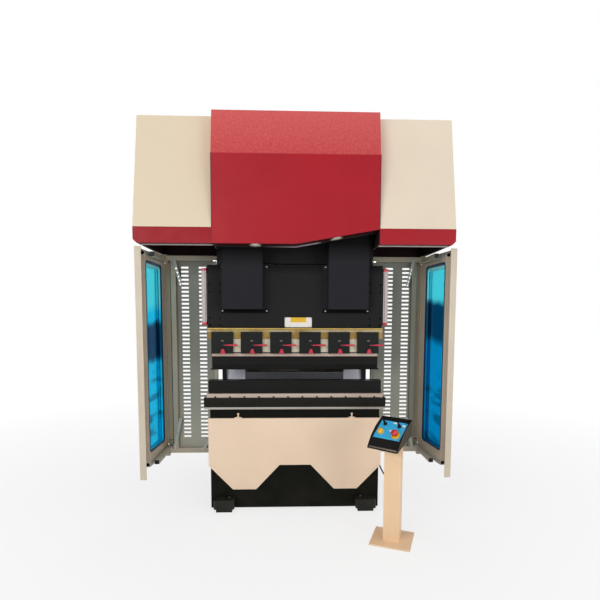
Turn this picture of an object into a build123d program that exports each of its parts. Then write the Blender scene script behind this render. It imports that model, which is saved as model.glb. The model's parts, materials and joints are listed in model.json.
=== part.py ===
from build123d import *
from math import cos, hypot, radians, sin, tan
import os

# Small press brake: bed, ram, hoods, two hinged side guards and a console.
# Millimetres. +X right, +Y to the rear, +Z up, origin on the floor midway
# between the four floor anchors.

# Sizes
# Floor anchors, measured from the bending line
anchor_front = 80.0
anchor_back = 800.0
anchor_short = 15.0         # anchor holes inside the frames' inner faces
anchor_hole_r = 9.0
bend_y = (anchor_front - anchor_back) / 2
touch = 0.3                 # running gap of slides and pins

# Side frames
frame_over = 3.0            # outer face outside the middle hood's side
frame_thick = 30.0
frame_behind = 12.0         # front edge behind the bending line
frame_reach = 880.0         # rear edge behind the bending line
frame_bottom = 10.0
throat_depth = 200.0
throat_top = 1330.0
throat_round = 60.0
shoulder_z = 1500.0         # where the rear edge starts to lean forward
neck_z = 1800.0             # where it ends

# Bed, table and lower tool
bed_half = 588.0
bed_thick = 62.0
bed_top = 712.0
table_half = 625.0
table_depth = 124.0
table_thick = 15.0
holder_over = 3.0           # holder past each end of the table
holder_height = 66.0
holder_step = 24.0          # height of the set-back strip at its foot
holder_step_in = 6.0
holder_hole_r = 8.0
holder_hole_deep = 20.0
holder_hole_up = 36.0       # above the table
rail_short = 15.0           # rail and die short of the table's ends
rail_depth = 110.0
rail_height = 27.0
rail_notches = 12
rail_notch_pitch = 100.0
rail_notch_wide = 12.0
rail_notch_deep = 8.0
rail_notch_high = 10.0
die_short = 25.0
die_depth = 62.0
die_height = 90.0
die_groove = 30.0           # width of the V at the top
die_groove_deep = 20.0

# Front panel of the bed
panel_thick = 16.0
panel_half = 600.0
panel_top = 650.0
panel_shoulder = 316.0      # height where the lower corners start
panel_leg_out = 434.0
panel_leg_in = 272.0
panel_leg_bottom = 146.0
panel_arch_half = 108.0
panel_arch_top = 319.0

# Feet
foot_wide = 142.0
foot_front = 120.0          # ahead of the bending line
foot_height = 87.0
foot_pad_high = 24.0
foot_pad_wide = 110.0
foot_pad_long = 56.0
foot_chamfer = 10.0
jack_r = 9.0                # head of the jack screw
jack_high = 12.0
jack_x = 34.0               # from the anchor hole
rear_foot_long = 120.0
rear_foot_in = 60.0         # reach of a rear foot inward from the frame

# Ram and upper tool
ram_half = 597.0
ram_ahead = 40.0            # front face ahead of the bending line
guide_thick = 6.0
guide_low = 1345.0
guide_high = 1800.0
ram_bottom = 1100.0
ram_top = 1697.0
ram_hole_x = (512.0, 583.0)
ram_hole_z = (1291.0, 1340.0, 1518.0, 1569.0)
ram_hole_r = 6.0
ram_hole_deep = 18.0
clamp_count = 6
clamp_pitch = 198.0
clamp_wide = 146.0
clamp_top = 1247.0
clamp_depth = 25.0
rail_bar_top = 1272.0
rail_bar_bottom = 1198.0
rail_bar_depth = 20.0
adapter_over = 4.0          # adapter past the outermost clamps
adapter_depth = 15.0
adapter_bottom = 1108.0
tool_bar_half = 570.0
tool_bar_height = 22.0
tool_bar_front = 35.0
punch_half = 575.0
punch_horn = 18.0           # how far the blade stands out past each end
punch_horn_high = 16.0
punch_height = 96.0
punch_front = 20.0
punch_shank = 58.0          # straight part above the taper
punch_tip = 2.0
lever_up = 24.0             # lever's centre above the button
lever_long = 109.0
lever_thick = 12.0
lever_proud = 12.0
button_wide = 36.0
button_aside = 6.0          # button's middle to the right of the block's
button_high = 34.0
button_proud = 16.0
cover_x = 354.0
cover_wide = 270.0
cover_ahead = 115.0
cover_bottom = 1400.0
cover_top = 1990.0
cover_plate_in = 185.0      # inner and outer edge of the screwed flange
cover_plate_out = 505.0
cover_plate_thick = 4.0
cover_plate_bottom = 1375.0
cover_plate_top = 1700.0
blank_x = 20.0
blank_wide = 185.0
blank_low = 1278.0
blank_high = 1345.0
blank_thick = 2.0

# Linear scales beside the ram
scale_gap = 7.0             # from the ram's edge
scale_wide = 31.0
scale_deep = 34.0
scale_low = 1293.0
scale_high = 1676.0
scale_arm_high = 30.0
scale_arm_thick = 10.0

# Hood
hood_wall = 5.0
hood_ahead = 225.0          # front and rear from the bending line
hood_behind = 560.0
hood_bottom = 1811.0
hood_top = 2643.0
hood_half = 534.0           # half width of the red middle hood
hood_seam = 0.8
hood_fold = 2366.0          # height of the fold in the middle hood
hood_fold_back = 48.0       # lean of the strip above the fold
hood_cut_rise = 94.0        # lower edge of the middle hood, right end
hood_side_deep = 175.0      # depth of the middle hood's side walls
side_hood_out = 1027.0
side_hood_lean = 143.0      # lean of the beige fronts
band_height = 100.0
band_round = 22.0
lip_wide = 40.0
under_deep = 98.0           # lamp panel under the middle hood
under_thick = 4.0
under_lip_high = 8.0        # edge that hangs down behind the lamps
under_lip_thick = 3.0
lamp_r = 44.0
lamp_high = 9.0
lamp_x = 262.0

# Upper cross beam and rear cover
beam_under = 91.0           # lower edge below the hood's lower edge
beam_drop = 223.0           # upper edge below the hood's top
beam_behind = 60.0
beam_thick = 80.0
cover_sheet = 4.0
rear_cover_low = 60.0

# Back gauge
gauge_half = 370.0
gauge_behind_bend = 235.0
gauge_deep = 60.0
gauge_low = 875.0
gauge_high = 935.0
gauge_groove_z = 919.0
gauge_groove_high = 8.0
gauge_groove_deep = 12.0
gauge_eye_x = 36.0
gauge_eye_z = 896.0
gauge_eye_r = 12.0
gauge_ahead = 90.0
gauge_behind = 330.0
slider_wide = 118.0
slider_low = 835.0
slider_high = 985.0
gauge_rail_wide = 24.0
gauge_rail_high = 24.0

# Side guards
rail_behind = 185.0         # guard rails behind the bending line
tube = 30.0
rail_top_z = 1769.0
rail_top_high = 35.0
rail_low_z = 353.0
rail_low_high = 38.0
arm_short = 82.0            # arm centre inside the hood's outer face
arm_ahead = 100.0
arm_top_z = 1760.0
arm_low_z = 358.0
post_short = 47.0           # post's outer face inside the arm's centre
post_wide = 36.0
inner_post_wide = 24.0      # post along the inner edge of the slotted panel
corner_ahead = 10.0         # corner tube behind the hinge line
corner_deep = 32.0
corner_wide = 45.0          # reaches in behind the post
slot_panel_in = 590.0
slot_panel_thick = 3.0
slot_count = 44
slot_pitch = 29.1
slot_share = 0.195          # slot width as a share of the free panel width
slot_high = 14.0
slot_low = 453.0
# Middle of each slot column as a share of the free width, from the inner edge
left_columns = (0.312, 0.779)
right_columns = (0.408, 0.857)
clip_wide = 29.0
clip_high = 24.0
brace_wide = 22.0
brace_thick = 4.0
brace_lap = 16.0            # how far a brace laps over a rail
# Each brace: at the rail and at its free end, as outer edge inside the post's
# outer face and height above the lower rail's top (or below the upper rail's foot)
brace_outer_low = ((-7, 0), (43, 225))
brace_upper = ((14, 0), (62, 180))
brace_inner_low = ((206, 0), (302, 150))

# Guard doors, in door coordinates: along = from the hinge to the front
hinge_over = 30.0           # hinge outside the arm's centre
hinge_behind = 278.0
hinge_r = 6.0
lug_thick = 8.0
lug_gap = 4.0               # between a lug and the door leaf
lug_r = 15.0
left_open = 4.0             # degrees open as shown
right_open = 7.0
leaf_in = 9.0               # inner face from the hinge axis
leaf_out = 35.0             # outer face from the hinge axis
skin = 3.0
leaf_rear = 9.0
leaf_long = 383.0
skin_long = 443.0
leaf_low = 324.0
leaf_top = 1782.0
skin_top = 1800.0
skin_tip = 255.0
skin_tip_long = 14.0
skin_curve = 70.0
window_rear = 70.0
window_front = 368.0
window_low = 421.0
window_top = 1720.0
window_round = 28.0
pane_thick = 6.0

# Console. The box is set out from the middle of its rear edge
console_x = 622.0
console_ahead = 420.0
console_turn = 41.3         # degrees, right end towards the viewer
console_wide = 202.0
console_top = 732.0         # upper and lower rear edges
console_low = 639.0
slope_reach = 145.0         # front end of the slope with the plate
slope_low = 625.5
nose_reach = 188.0          # front lower edge
nose_low = 567.0
cheek_thick = 7.0
cheek_bulge = 17.0          # cheeks above the slope, at their middle
cheek_mid = 75.0
plate_side = 14.0           # plate inside the box's sides
plate_start = 31.0          # plate's rear edge ahead of the box's rear edge
plate_end = 2.0             # plate short of the slope's front end
plate_thick = 3.0
post_turn = 22.0
post_ahead = 95.0           # post's centre ahead of the box's rear edge
post_aside = 30.5           # and to its right
post_side = 97.0
console_foot = 240.0
console_foot_thick = 10.0
# Each button: place from the plate's middle, then its outline as (radius, height)
knob = ((0, 0), (12, 0), (12, 5), (4, 38), (0, 38))
dome = ((0, 0), (21, 0), (21, 8), (18, 14), (10, 19), (0, 21))
stop = ((0, 0), (27, 0), (25, 9), (12, 9), (12, 20), (22, 23), (22, 30), (15, 35), (0, 37))
buttons = (((-51, 39), knob), ((46, 35), knob), ((-55, -23), dome), ((49, -34), stop))

# Cable between the machine and the console
cable_r = 5.0
gland_r = 9.0
gland_long = 22.0
cable_start_x = 600.0
cable_start_z = 353.0
cable_end_z = 308.0
bend_share = 0.45           # share of the shorter run next to it that a bend takes up
# Points in between: across, behind the bending line, height
cable_mid = (
    (600, 105, 353),
    (599, 35, 330),
    (598, -42, 303),
    (597, -120, 296),
    (596, -195, 296),
    (600, -265, 301),
    (616, -335, 305),
    (626.7, -401.6, 308),
)

# Derived places
frame_front = bend_y + frame_behind
frame_back = bend_y + frame_reach
frame_out = hood_half + frame_over
frame_in = frame_out - frame_thick
anchor_x = frame_in - anchor_short
holder_half = table_half + holder_over
clamp_places = [(i - (clamp_count - 1) / 2) * clamp_pitch for i in range(clamp_count)]
adapter_half = clamp_places[-1] + clamp_wide / 2 + adapter_over
rail_half = table_half - rail_short
die_half = table_half - die_short
ram_front = bend_y - ram_ahead
cover_front = bend_y - cover_ahead
hood_front = bend_y - hood_ahead
hood_back = bend_y + hood_behind
upper_back = hood_back - hood_wall      # rear edge of the frames inside the hood
beam_front = bend_y + beam_behind
beam_low = hood_bottom - beam_under
beam_high = hood_top - beam_drop
gauge_front = bend_y + gauge_behind_bend
rail_y = bend_y + rail_behind
arm_x = side_hood_out - arm_short
arm_front = bend_y - arm_ahead
post_out = arm_x - post_short
post_in = post_out - post_wide
hinge_x = arm_x + hinge_over
hinge_y = bend_y + hinge_behind
console_y = bend_y - console_ahead
ram_back = frame_front - guide_thick - touch
table_top = bed_top + table_thick
holder_top = table_top + holder_height
rail_top = holder_top + rail_height
die_top = rail_top + die_height
tool_bar_bottom = ram_bottom - tool_bar_height
punch_bottom = tool_bar_bottom - punch_height
frame_top = hood_top - hood_wall
window_mid_z = (window_low + window_top) / 2


def block(xs, ys, zs, mode=Mode.ADD):
    """Add a box given by its low and high corner values to the open part."""
    with BuildSketch(Plane.XY.offset(zs[0])) as base:
        with Locations((sum(xs) / 2, sum(ys) / 2)):
            Rectangle(xs[1] - xs[0], ys[1] - ys[0])
    extrude(base.sketch, amount=zs[1] - zs[0], mode=mode)


def sided(side, near, far):
    """Span between two distances from the centre, on the given side."""
    return tuple(sorted((side * near, side * far)))


def profile(points, xs, mode=Mode.ADD):
    """Extrude a closed outline of (y, z) points across the span xs."""
    with BuildSketch(Plane.YZ.offset(xs[0])) as outline:
        with BuildLine():
            Polyline(*points, close=True)
        make_face()
    extrude(outline.sketch, amount=xs[1] - xs[0], mode=mode)


def save(solid, label):
    """Name a finished piece and write its file."""
    solid.label = label
    export_step(solid, f"parts/{label}.step")


os.makedirs("parts", exist_ok=True)
sides = (("left", -1), ("right", 1))

# Side frames
for name, side in sides:
    with BuildPart() as side_frame:
        profile(
            [
                (frame_front, frame_bottom),
                (frame_back, frame_bottom),
                (frame_back, shoulder_z),
                (upper_back, neck_z),
                (upper_back, frame_top),
                (frame_front, frame_top),
            ],
            sided(side, frame_in, frame_out),
        )
        with BuildSketch(Plane.YZ.offset(side * frame_in)) as mouth:
            with Locations((frame_front, (bed_top + throat_top) / 2)):
                RectangleRounded(2 * throat_depth, throat_top - bed_top, throat_round)
        extrude(mouth.sketch, amount=side * frame_thick, mode=Mode.SUBTRACT)
    save(side_frame.part, f"{name}_side_frame")

# Bed and table
bed_front = frame_front - bed_thick
with BuildPart() as bed_plate:
    block((-bed_half, bed_half), (bed_front, frame_front), (frame_bottom, bed_top))
save(bed_plate.part, "bed_plate")

with BuildPart() as front_panel:
    with BuildSketch(Plane.XZ.offset(-bed_front)) as outline:
        with BuildLine():
            half = [
                (panel_half, panel_top),
                (panel_half, panel_shoulder),
                (panel_leg_out, panel_leg_bottom),
                (panel_leg_in, panel_leg_bottom),
                (panel_arch_half, panel_arch_top),
            ]
            other = [(-x, z) for x, z in reversed(half)]
            Polyline(*half, *other, close=True)
        make_face()
    extrude(outline.sketch, amount=panel_thick)
save(front_panel.part, "front_panel")

table_front = bend_y - table_depth / 2
table_back = bend_y + table_depth / 2
with BuildPart() as table_plate:
    block((-table_half, table_half), (table_front, table_back), (bed_top, table_top))
save(table_plate.part, "table_plate")

with BuildPart() as die_holder:
    block((-holder_half, holder_half), (table_front, table_back), (table_top, holder_top))
    step_y = (table_front, table_front + holder_step_in)
    step_z = (table_top, table_top + holder_step)
    block((-holder_half, holder_half), step_y, step_z, Mode.SUBTRACT)
    with BuildSketch(Plane.XZ.offset(-table_front)) as bolt_holes:
        with Locations(*[(x, table_top + holder_hole_up) for x in clamp_places]):
            Circle(holder_hole_r)
    extrude(bolt_holes.sketch, amount=-holder_hole_deep, mode=Mode.SUBTRACT)
save(die_holder.part, "die_holder")

with BuildPart() as die_rail:
    rail_y_span = (bend_y - rail_depth / 2, bend_y + rail_depth / 2)
    block((-rail_half, rail_half), rail_y_span, (holder_top, rail_top))
    with BuildSketch(Plane.XY.offset(holder_top)) as notches:
        with Locations((0, rail_y_span[0])):
            with GridLocations(rail_notch_pitch, 1, rail_notches, 1):
                Rectangle(rail_notch_wide, 2 * rail_notch_deep)
    extrude(notches.sketch, amount=rail_notch_high, mode=Mode.SUBTRACT)
save(die_rail.part, "die_rail")

with BuildPart() as die:
    profile(
        [
            (bend_y - die_depth / 2, rail_top),
            (bend_y + die_depth / 2, rail_top),
            (bend_y + die_depth / 2, die_top),
            (bend_y + die_groove / 2, die_top),
            (bend_y, die_top - die_groove_deep),
            (bend_y - die_groove / 2, die_top),
            (bend_y - die_depth / 2, die_top),
        ],
        (-die_half, die_half),
    )
save(die.part, "die")

# Feet
foot_edge = bend_y - foot_front
anchor_y = bend_y - anchor_front
with BuildPart() as front_feet:
    for side in (-1, 1):
        foot_x = sided(side, anchor_x - foot_wide / 2, anchor_x + foot_wide / 2)
        block(foot_x, (foot_edge, bed_front), (foot_pad_high, foot_height))
        pad_x = sided(side, anchor_x - foot_pad_wide / 2, anchor_x + foot_pad_wide / 2)
        pad_y = (anchor_y - foot_pad_long / 2, anchor_y + foot_pad_long / 2)
        block(pad_x, pad_y, (0, foot_pad_high))
        with Locations((side * (anchor_x - jack_x), anchor_y, foot_height + jack_high / 2)):
            Cylinder(jack_r, jack_high)
    outer_edges = front_feet.edges().filter_by(Axis.Z).group_by(Axis.Y)[0]
    chamfer(outer_edges, foot_chamfer)
    with Locations(*[(x, anchor_y, foot_height) for x in (-anchor_x, anchor_x)]):
        Hole(anchor_hole_r, depth=foot_height)
save(front_feet.part, "front_feet")

with BuildPart() as rear_feet:
    for side in (-1, 1):
        y_mid = bend_y + anchor_back
        foot_x = sided(side, frame_in - rear_foot_in, frame_out)
        y_span = (y_mid - rear_foot_long / 2, y_mid + rear_foot_long / 2)
        block(foot_x, y_span, (0, frame_bottom))
    with Locations(*[(x, bend_y + anchor_back, frame_bottom) for x in (-anchor_x, anchor_x)]):
        Hole(anchor_hole_r, depth=frame_bottom)
save(rear_feet.part, "rear_feet")

# Cross beam and rear cover
with BuildPart() as cross_beam:
    block((-frame_in, frame_in), (beam_front, beam_front + beam_thick), (beam_low, beam_high))
save(cross_beam.part, "cross_beam")

with BuildPart() as rear_cover:
    profile(
        [
            (frame_back - cover_sheet, rear_cover_low),
            (frame_back, rear_cover_low),
            (frame_back, shoulder_z),
            (upper_back, neck_z),
            (upper_back, hood_bottom),
            (upper_back - cover_sheet, hood_bottom),
            (upper_back - cover_sheet, neck_z),
            (frame_back - cover_sheet, shoulder_z),
        ],
        (-frame_in, frame_in),
    )
save(rear_cover.part, "rear_cover")

with BuildPart() as ram_guides:
    for side in (-1, 1):
        guide_y = (frame_front - guide_thick, frame_front)
        block(sided(side, frame_in, frame_out), guide_y, (guide_low, guide_high))
save(ram_guides.part, "ram_guides")

# Ram
with BuildPart() as ram_plate:
    block((-ram_half, ram_half), (ram_front, ram_back), (ram_bottom, ram_top))
    # Its lower corners are cut back to the width of the punch adapter
    for side in (-1, 1):
        corner = sided(side, adapter_half, ram_half)
        block(corner, (ram_front, ram_back), (ram_bottom, rail_bar_bottom), Mode.SUBTRACT)
    with BuildSketch(Plane.XZ.offset(-ram_front)) as bolt_holes:
        for x in ram_hole_x:
            for z in ram_hole_z:
                with Locations((-x, z), (x, z)):
                    Circle(ram_hole_r)
    extrude(bolt_holes.sketch, amount=-ram_hole_deep, mode=Mode.SUBTRACT)
save(ram_plate.part, "ram_plate")

with BuildPart() as ram_covers:
    plate_front = ram_front - cover_plate_thick
    for side in (-1, 1):
        x_mid = side * cover_x
        plate_x = sided(side, cover_plate_in, cover_plate_out)
        block(plate_x, (plate_front, ram_front), (cover_plate_bottom, cover_plate_top))
        box_x = (x_mid - cover_wide / 2, x_mid + cover_wide / 2)
        block(box_x, (cover_front, ram_front), (cover_bottom, cover_top))
save(ram_covers.part, "ram_covers")

bar_front = ram_front - rail_bar_depth
with BuildPart() as clamp_rail:
    block((-ram_half, ram_half), (bar_front, ram_front), (rail_bar_bottom, rail_bar_top))
save(clamp_rail.part, "clamp_rail")

with BuildPart() as punch_adapter:
    adapter_x = (-adapter_half, adapter_half)
    block(adapter_x, (ram_front - adapter_depth, ram_front), (adapter_bottom, rail_bar_bottom))
save(punch_adapter.part, "punch_adapter")

clamp_front = bar_front - clamp_depth
with BuildPart() as clamp_blocks:
    for x in clamp_places:
        clamp_x = (x - clamp_wide / 2, x + clamp_wide / 2)
        block(clamp_x, (clamp_front, bar_front), (ram_bottom, clamp_top))
save(clamp_blocks.part, "clamp_blocks")

lever_z = ram_bottom + button_high + lever_up
with BuildPart() as clamp_levers:
    for x in clamp_places:
        block(
            (x, x + lever_long),
            (clamp_front - lever_proud, clamp_front),
            (lever_z - lever_thick / 2, lever_z + lever_thick / 2),
        )
        button_x = x + button_aside
        block(
            (button_x - button_wide / 2, button_x + button_wide / 2),
            (clamp_front - button_proud, clamp_front),
            (ram_bottom, ram_bottom + button_high),
        )
save(clamp_levers.part, "clamp_levers")

with BuildPart() as tool_bar:
    block(
        (-tool_bar_half, tool_bar_half),
        (bend_y - tool_bar_front, ram_back),
        (tool_bar_bottom, ram_bottom),
    )
save(tool_bar.part, "tool_bar")

with BuildPart() as punch:
    taper_z = tool_bar_bottom - punch_shank
    profile(
        [
            (bend_y - punch_front, tool_bar_bottom),
            (bend_y - punch_front, taper_z),
            (bend_y - punch_tip, punch_bottom),
            (bend_y + punch_tip, punch_bottom),
            (ram_back, taper_z),
            (ram_back, tool_bar_bottom),
        ],
        (-punch_half, punch_half),
    )
    for side in (-1, 1):
        with BuildSketch(Plane.XZ.offset(-(bend_y - punch_tip))) as horn:
            with BuildLine():
                Polyline(
                    (side * punch_half, punch_bottom),
                    (side * (punch_half + punch_horn), punch_bottom),
                    (side * punch_half, punch_bottom + punch_horn_high),
                    close=True,
                )
            make_face()
        extrude(horn.sketch, amount=-2 * punch_tip)
save(punch.part, "punch")

with BuildPart() as blank_plate:
    block(
        (blank_x - blank_wide / 2, blank_x + blank_wide / 2),
        (ram_front - blank_thick, ram_front),
        (blank_low, blank_high),
    )
save(blank_plate.part, "blank_plate")

# Scales
scale_in = ram_half + scale_gap
scale_y = (ram_front, ram_front + scale_deep)
with BuildPart() as linear_scales:
    for side in (-1, 1):
        block(sided(side, scale_in, scale_in + scale_wide), scale_y, (scale_low, scale_high))
save(linear_scales.part, "linear_scales")

arm_y = (frame_front, frame_front + scale_arm_thick)
with BuildPart() as scale_brackets:
    for side in (-1, 1):
        for z in (scale_low, scale_high - scale_arm_high):
            arm_z = (z, z + scale_arm_high)
            block(sided(side, frame_out, scale_in + scale_wide), arm_y, arm_z)
            block(sided(side, scale_in, scale_in + scale_wide), (scale_y[1], arm_y[0]), arm_z)
save(scale_brackets.part, "scale_brackets")

# Hood
fold_y = hood_front
crown_y = hood_front + hood_fold_back
with BuildPart() as centre_hood:
    outer = [
        (hood_front, hood_bottom),
        (fold_y, hood_fold),
        (crown_y, hood_top),
        (hood_back, hood_top),
        (hood_back, hood_bottom),
    ]
    profile(outer, (-hood_half, hood_half))
    inner = [
        (hood_front + hood_wall, hood_bottom),
        (fold_y + hood_wall, hood_fold),
        (crown_y + hood_wall, hood_top - hood_wall),
        (hood_back - hood_wall, hood_top - hood_wall),
        (hood_back - hood_wall, hood_bottom),
    ]
    profile(inner, (hood_wall - hood_half, hood_half - hood_wall), Mode.SUBTRACT)
    side_cut = (hood_front + hood_side_deep, hood_back)
    block((-hood_half, hood_half), side_cut, (hood_bottom, frame_top), Mode.SUBTRACT)
    with BuildSketch(Plane.XZ.offset(-hood_front)) as rise:
        with BuildLine():
            Polyline(
                (0, hood_bottom),
                (hood_half, hood_bottom),
                (hood_half, hood_bottom + hood_cut_rise),
                close=True,
            )
        make_face()
    extrude(rise.sketch, amount=-hood_side_deep, mode=Mode.SUBTRACT)
    back_y = (hood_back - hood_wall, hood_back)
    block((-hood_half, hood_half), back_y, (hood_bottom, frame_top))
save(centre_hood.part, "centre_hood")

# The lamp panel closes the front of the underside and follows its slope
under_front = hood_front + hood_wall
under_in = hood_half - hood_wall
under_slope = hood_cut_rise / hood_half
with BuildPart() as lamp_panel:
    with BuildSketch(Plane.XZ.offset(-under_front)) as strip:
        with BuildLine():
            Polyline(
                (-under_in, hood_bottom),
                (0, hood_bottom),
                (under_in, hood_bottom + under_in * under_slope),
                (under_in, hood_bottom + under_in * under_slope + under_thick),
                (0, hood_bottom + under_thick),
                (-under_in, hood_bottom + under_thick),
                close=True,
            )
        make_face()
    extrude(strip.sketch, amount=-under_deep)
    with BuildSketch(Plane.XZ.offset(-(under_front + under_deep - under_lip_thick))) as lip:
        with BuildLine():
            Polyline(
                (-under_in, hood_bottom - under_lip_high),
                (0, hood_bottom - under_lip_high),
                (under_in, hood_bottom - under_lip_high + under_in * under_slope),
                (under_in, hood_bottom + under_in * under_slope),
                (0, hood_bottom),
                (-under_in, hood_bottom),
                close=True,
            )
        make_face()
    extrude(lip.sketch, amount=-under_lip_thick)
save(lamp_panel.part, "lamp_panel")

lamp_y = under_front + under_deep / 2
with BuildPart() as hood_lamps:
    slope_plane = Plane(
        origin=(lamp_x, lamp_y, hood_bottom + lamp_x * under_slope),
        x_dir=(1, 0, under_slope),
        z_dir=(under_slope, 0, -1),
    )
    flat_plane = Plane(origin=(-lamp_x, lamp_y, hood_bottom), z_dir=(0, 0, -1))
    for lamp_plane in (flat_plane, slope_plane):
        with BuildSketch(lamp_plane) as disc:
            Circle(lamp_r)
        extrude(disc.sketch, amount=lamp_high)
save(hood_lamps.part, "hood_lamps")

band_top = hood_bottom + band_height
lean = side_hood_lean / (hood_top - band_top)
for name, side in sides:
    hood_in = hood_half + hood_seam
    with BuildPart() as side_hood:
        profile(
            [
                (hood_front, band_top),
                (hood_front + side_hood_lean, hood_top),
                (hood_back, hood_top),
                (hood_back, band_top),
            ],
            sided(side, hood_in, side_hood_out),
        )
        profile(
            [
                (hood_front + hood_wall, band_top),
                (hood_front + side_hood_lean + hood_wall, frame_top),
                (hood_back - hood_wall, frame_top),
                (hood_back - hood_wall, band_top),
            ],
            sided(side, hood_in, side_hood_out - hood_wall),
            Mode.SUBTRACT,
        )
        # The inner wall reaches back to the side frame
        wall_x = sided(side, hood_in, hood_in + hood_wall)
        profile(
            [
                (hood_front, band_top),
                (hood_front + side_hood_lean, hood_top),
                (frame_front, hood_top),
                (frame_front, band_top),
            ],
            wall_x,
        )
    save(side_hood.part, f"{name}_hood")

    with BuildPart() as band:
        with BuildSketch(Plane.XZ.offset(-hood_front)) as ring:
            with BuildLine():
                Polyline(
                    (side * hood_in, hood_bottom),
                    (side * (side_hood_out - band_round), hood_bottom),
                    (side * side_hood_out, hood_bottom + band_round),
                    (side * side_hood_out, band_top),
                    (side * hood_in, band_top),
                    close=True,
                )
            make_face()
        extrude(ring.sketch, amount=hood_front - hood_back)
        block(
            sided(side, hood_in, side_hood_out - hood_wall),
            (hood_front + hood_wall, hood_back - hood_wall),
            (hood_bottom + hood_wall, band_top),
            Mode.SUBTRACT,
        )
        lip_z = (hood_bottom, hood_bottom + hood_wall)
        lip_y = (hood_front + lip_wide, hood_back - lip_wide)
        block(sided(side, hood_in, side_hood_out - lip_wide), lip_y, lip_z, Mode.SUBTRACT)
        # The frame plate passes the rear lip
        frame_y = (frame_front, hood_back - hood_wall)
        block(sided(side, hood_in, frame_out), frame_y, lip_z, Mode.SUBTRACT)
        block(wall_x, (hood_front, frame_front), (hood_bottom, band_top))
    save(band.part, f"{name}_hood_band")

# Back gauge
slider_x = (frame_in - touch - slider_wide, frame_in - touch)
with BuildPart() as gauge_beam:
    gauge_y = (gauge_front, gauge_front + gauge_deep)
    block((-gauge_half, gauge_half), gauge_y, (gauge_low, gauge_high))
    groove_y = (gauge_y[0], gauge_y[0] + gauge_groove_deep)
    groove_z = (gauge_groove_z - gauge_groove_high / 2, gauge_groove_z + gauge_groove_high / 2)
    block((-gauge_half, gauge_half), groove_y, groove_z, Mode.SUBTRACT)
    with BuildSketch(Plane.XZ.offset(-gauge_y[0])) as eyes:
        with Locations((-gauge_eye_x, gauge_eye_z), (gauge_eye_x, gauge_eye_z)):
            Circle(gauge_eye_r)
    extrude(eyes.sketch, amount=-gauge_groove_deep, mode=Mode.SUBTRACT)
save(gauge_beam.part, "gauge_beam")

rail_mid = (slider_low + gauge_low) / 2
with BuildPart() as gauge_sliders:
    for side in (-1, 1):
        block(sided(side, gauge_half, slider_x[1]), gauge_y, (slider_low, slider_high))
        slot_x = sided(side, slider_x[1] - gauge_rail_wide, slider_x[1])
        slot_z = (rail_mid - gauge_rail_high / 2, rail_mid + gauge_rail_high / 2)
        block(slot_x, gauge_y, slot_z, Mode.SUBTRACT)
save(gauge_sliders.part, "gauge_sliders")

with BuildPart() as gauge_rails:
    for side in (-1, 1):
        block(
            sided(side, frame_in - gauge_rail_wide, frame_in),
            (gauge_y[0] - gauge_ahead - touch, gauge_y[1] + gauge_behind + touch),
            (slot_z[0] + touch, slot_z[1] - touch),
        )
save(gauge_rails.part, "gauge_rails")

# Guards
corner_x = arm_x + tube / 2
corner_in = arm_x - tube / 2
rail_span_y = (rail_y, rail_y + tube)
rail_spans_z = (
    (rail_top_z - rail_top_high / 2, rail_top_z + rail_top_high / 2),
    (rail_low_z - rail_low_high / 2, rail_low_z + rail_low_high / 2),
)
with BuildPart() as guard_rails:
    for side in (-1, 1):
        for z_span in rail_spans_z:
            block(sided(side, frame_out, corner_in), rail_span_y, z_span)
        # A short clip under the upper rail holds it to the frame
        clip_z = (rail_spans_z[0][0] - clip_high, rail_spans_z[0][0])
        block(sided(side, frame_out, frame_out + clip_wide), rail_span_y, clip_z)
save(guard_rails.part, "guard_rails")

# Two arms on each side, joined behind the door by an upright corner tube
corner_y = (hinge_y + corner_ahead, hinge_y + corner_ahead + corner_deep)
with BuildPart() as guard_arms:
    for side in (-1, 1):
        arm_x_span = sided(side, corner_in, corner_x)
        for z in (arm_top_z, arm_low_z):
            block(arm_x_span, (arm_front, corner_y[1]), (z - tube / 2, z + tube / 2))
        corner_span = sided(side, corner_x - corner_wide, corner_x)
        block(corner_span, corner_y, (arm_low_z - tube / 2, arm_top_z + tube / 2))
save(guard_arms.part, "guard_arms")

with BuildPart() as guard_posts:
    for side in (-1, 1):
        post_z = (rail_spans_z[1][1], rail_spans_z[0][0])
        block(sided(side, post_in, post_out), rail_span_y, post_z)
        inner_x = sided(side, slot_panel_in - inner_post_wide, slot_panel_in)
        block(inner_x, rail_span_y, post_z)
save(guard_posts.part, "guard_posts")

# Sloping flat braces across the corners, on the front of the rails and posts
with BuildPart() as guard_braces:
    for side in (-1, 1):
        for ends, foot_z, rise in (
            (brace_outer_low, rail_spans_z[1][1], 1),
            (brace_inner_low, rail_spans_z[1][1], 1),
            (brace_upper, rail_spans_z[0][0], -1),
        ):
            (foot_in, foot_up), (end_in, end_up) = ends
            foot_x, foot_at = post_out - foot_in, foot_z + rise * (foot_up - brace_lap)
            end_x, end_at = post_out - end_in, foot_z + rise * end_up
            with BuildSketch(Plane.XZ.offset(-rail_y)) as brace:
                with BuildLine():
                    Polyline(
                        (side * foot_x, foot_at),
                        (side * (foot_x - brace_wide), foot_at),
                        (side * (end_x - brace_wide), end_at),
                        (side * end_x, end_at),
                        close=True,
                    )
                make_face()
            extrude(brace.sketch, amount=brace_thick)
save(guard_braces.part, "guard_braces")

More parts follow.
